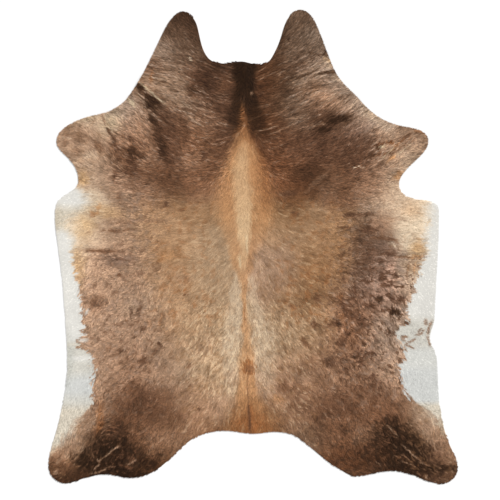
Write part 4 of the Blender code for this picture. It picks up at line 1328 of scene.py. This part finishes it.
def ramp(tree, factor, stops):
    node = tree.nodes.new("ShaderNodeValToRGB")
    tree.links.new(factor, node.inputs["Fac"])
    while len(node.color_ramp.elements) < len(stops):
        node.color_ramp.elements.new(0.5)
    for element, (place, value) in zip(node.color_ramp.elements, stops):
        element.position = place
        element.color = (*value, 1.0) if isinstance(value, tuple) else (value, value, value, 1.0)
    return node.outputs["Color"]


def multiply(tree, a, b, factor=1.0):
    inputs = {"Factor": factor, "A": a, "B": b}
    return add(tree, "ShaderNodeMix", inputs, data_type="RGBA", blend_type="MULTIPLY")["Result"]


def relief(tree, height, strength, distance):
    inputs = {"Height": height, "Strength": strength, "Distance": distance}
    return add(tree, "ShaderNodeBump", inputs)["Normal"]


def hair_material():
    """Short glossy hair: each lock's painted colour with single hairs drawn along it."""
    material, tree, shader = node_tree("hair_coat")
    painted = add(tree, "ShaderNodeAttribute", {}, attribute_name="coat")
    strand = add(tree, "ShaderNodeAttribute", {}, attribute_name="strand")["Vector"]
    hairs = cloud(tree, vector(tree, "MULTIPLY", strand, (4.5, 1.6, 1.0)), 1.0, 3.0, 0.6)["Fac"]
    shade = multiply(tree, painted["Color"], ramp(tree, hairs, [(0.28, 0.70), (0.50, 0.97), (0.72, 1.18)]),
                     painted["Alpha"])
    dust = cloud(tree, place_in_object(tree), 260.0, 2.0)["Fac"]
    shade = multiply(tree, shade, ramp(tree, dust, [(0.3, 0.88), (0.7, 1.1)]), painted["Alpha"])
    plug(tree, shader, {"Base Color": shade, "Roughness": 0.55, "Specular IOR Level": 0.02,
                        "Normal": relief(tree, hairs, painted["Alpha"], 0.0003)})
    return material


def undercoat_material():
    """The skin under the hair: the coat's colour darkened as painted shade between the locks, with short hair
    stubs.
    """
    material, tree, shader = node_tree("hair_roots_and_shade")
    painted = add(tree, "ShaderNodeAttribute", {}, attribute_name="coat")
    roots_and_shade = cloud(tree, place_in_object(tree), 420.0, 4.0, 0.7)["Fac"]
    # Darkened coat colour: painted shade in the gaps between the locks.
    shade = multiply(tree, painted["Color"], ramp(tree, roots_and_shade, [(0.3, 0.62), (0.7, 0.92)]), painted["Alpha"])
    plug(tree, shader, {"Base Color": shade, "Roughness": 0.75, "Specular IOR Level": 0.05,
                        "Normal": relief(tree, roots_and_shade, painted["Alpha"], 0.0005)})
    return material


def suede_material():
    """The flesh side and the cut edge: pale napped leather with clouds, veins and a darker back line."""
    material, tree, shader = node_tree("flesh_side_suede")
    place = place_in_object(tree)
    clouds = cloud(tree, place, 5.0, 5.0, 0.6)["Fac"]
    leather = [(0.30, (0.50, 0.42, 0.31)), (0.55, (0.60, 0.52, 0.40)), (0.75, (0.68, 0.61, 0.49))]
    nap = cloud(tree, place, 520.0, 6.0, 0.75)["Fac"]
    base = multiply(tree, ramp(tree, clouds, leather), ramp(tree, nap, [(0.3, 0.78), (0.7, 1.12)]))
    drift = cloud(tree, place, 3.5, 4.0, 0.6)["Color"]
    bent = vector(tree, "MULTIPLY_ADD", drift, (0.42, 0.42, 0.0), place)
    drawn = vector(tree, "MULTIPLY", bent, (1.0, 0.55, 1.0))
    for scale, depth, width in ((4.5, 0.88, 0.035), (13.0, 0.93, 0.05)):
        inputs = {"Vector": drawn, "Scale": scale}
        veins = add(tree, "ShaderNodeTexVoronoi", inputs, feature="DISTANCE_TO_EDGE")["Distance"]
        base = multiply(tree, base, ramp(tree, veins, [(0.0, depth), (width, 1.0)]))
    across = add(tree, "ShaderNodeSeparateXYZ", {"Vector": bent})["X"]
    away = number(tree, "ABSOLUTE", number(tree, "ADD", across, -0.18))
    base = multiply(tree, base, ramp(tree, away, [(0.0, (0.80, 0.78, 0.76)), (0.16, (1.0, 1.0, 1.0))]))
    plug(tree, shader, {"Base Color": base, "Roughness": 0.88, "Sheen Weight": 0.25, "Sheen Roughness": 0.5,
                        "Normal": relief(tree, nap, 0.5, 0.0008)})
    return material


def floor_material():
    material, tree, shader = node_tree("studio_floor")
    clouds = cloud(tree, place_in_object(tree), 60.0, 3.0)["Fac"]
    shade = ramp(tree, clouds, [(0.3, 0.63), (0.7, 0.65)])
    plug(tree, shader, {"Base Color": shade, "Roughness": 0.7, "Specular IOR Level": 0.2})
    return material


def add_to_scene(name, data, place):
    obj = bpy.data.objects.new(name, data)
    obj.location = place
    bpy.context.scene.collection.objects.link(obj)
    return obj


def build_setting():
    """A pale floor, a white world, one soft light and a camera that looks straight down."""
    bpy.ops.mesh.primitive_plane_add(size=FLOOR_SIZE, location=(0, 0, -FLOOR_GAP))
    floor = bpy.context.object
    floor.name = "studio_floor"
    floor.data.materials.append(floor_material())

    world = bpy.data.worlds.new("studio")
    world.use_nodes = True
    background = world.node_tree.nodes["Background"].inputs
    background["Color"].default_value = (1.0, 1.0, 1.0, 1.0)
    background["Strength"].default_value = WORLD_LIGHT
    key = bpy.data.lights.new("key", "SUN")
    key.energy = KEY_LIGHT
    key.angle = math.radians(KEY_SIZE)
    lamp = add_to_scene("key", key, KEY_PLACE)
    lamp.rotation_euler = (-lamp.location).to_track_quat("-Z", "Y").to_euler()

    camera = bpy.data.cameras.new("camera")
    camera.lens = CAMERA_LENS
    camera.sensor_width = CAMERA_FILM
    distance = PICTURE_WIDTH * CAMERA_LENS / CAMERA_FILM
    scene = bpy.context.scene
    scene.world = world
    scene.camera = add_to_scene("camera", camera, (CAMERA_X, CAMERA_Y, distance + COAT_MIDDLE))
    scene.view_settings.view_transform = "Standard"


hide_corners, hide_faces = top_faces(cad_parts["hide"].data)
outline = smooth_loop(rim_loop(hide_corners, hide_faces), RIM_STEP)
field = Field(outline)
rim_distance = edge_distance(field.x, field.y, outline)
height = lift_field(field, hide_corners, hide_faces, rim_distance)

skin = build_skin(outline, field, height)
skin.data.materials.append(undercoat_material())
skin.data.materials.append(suede_material())
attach(skin, "root")
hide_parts("hide")

coat = build_coat(outline, field, height, rim_distance)
hair = hair_material()
for piece in coat:
    piece.data.materials.append(hair)
    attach(piece, "root")

build_setting()
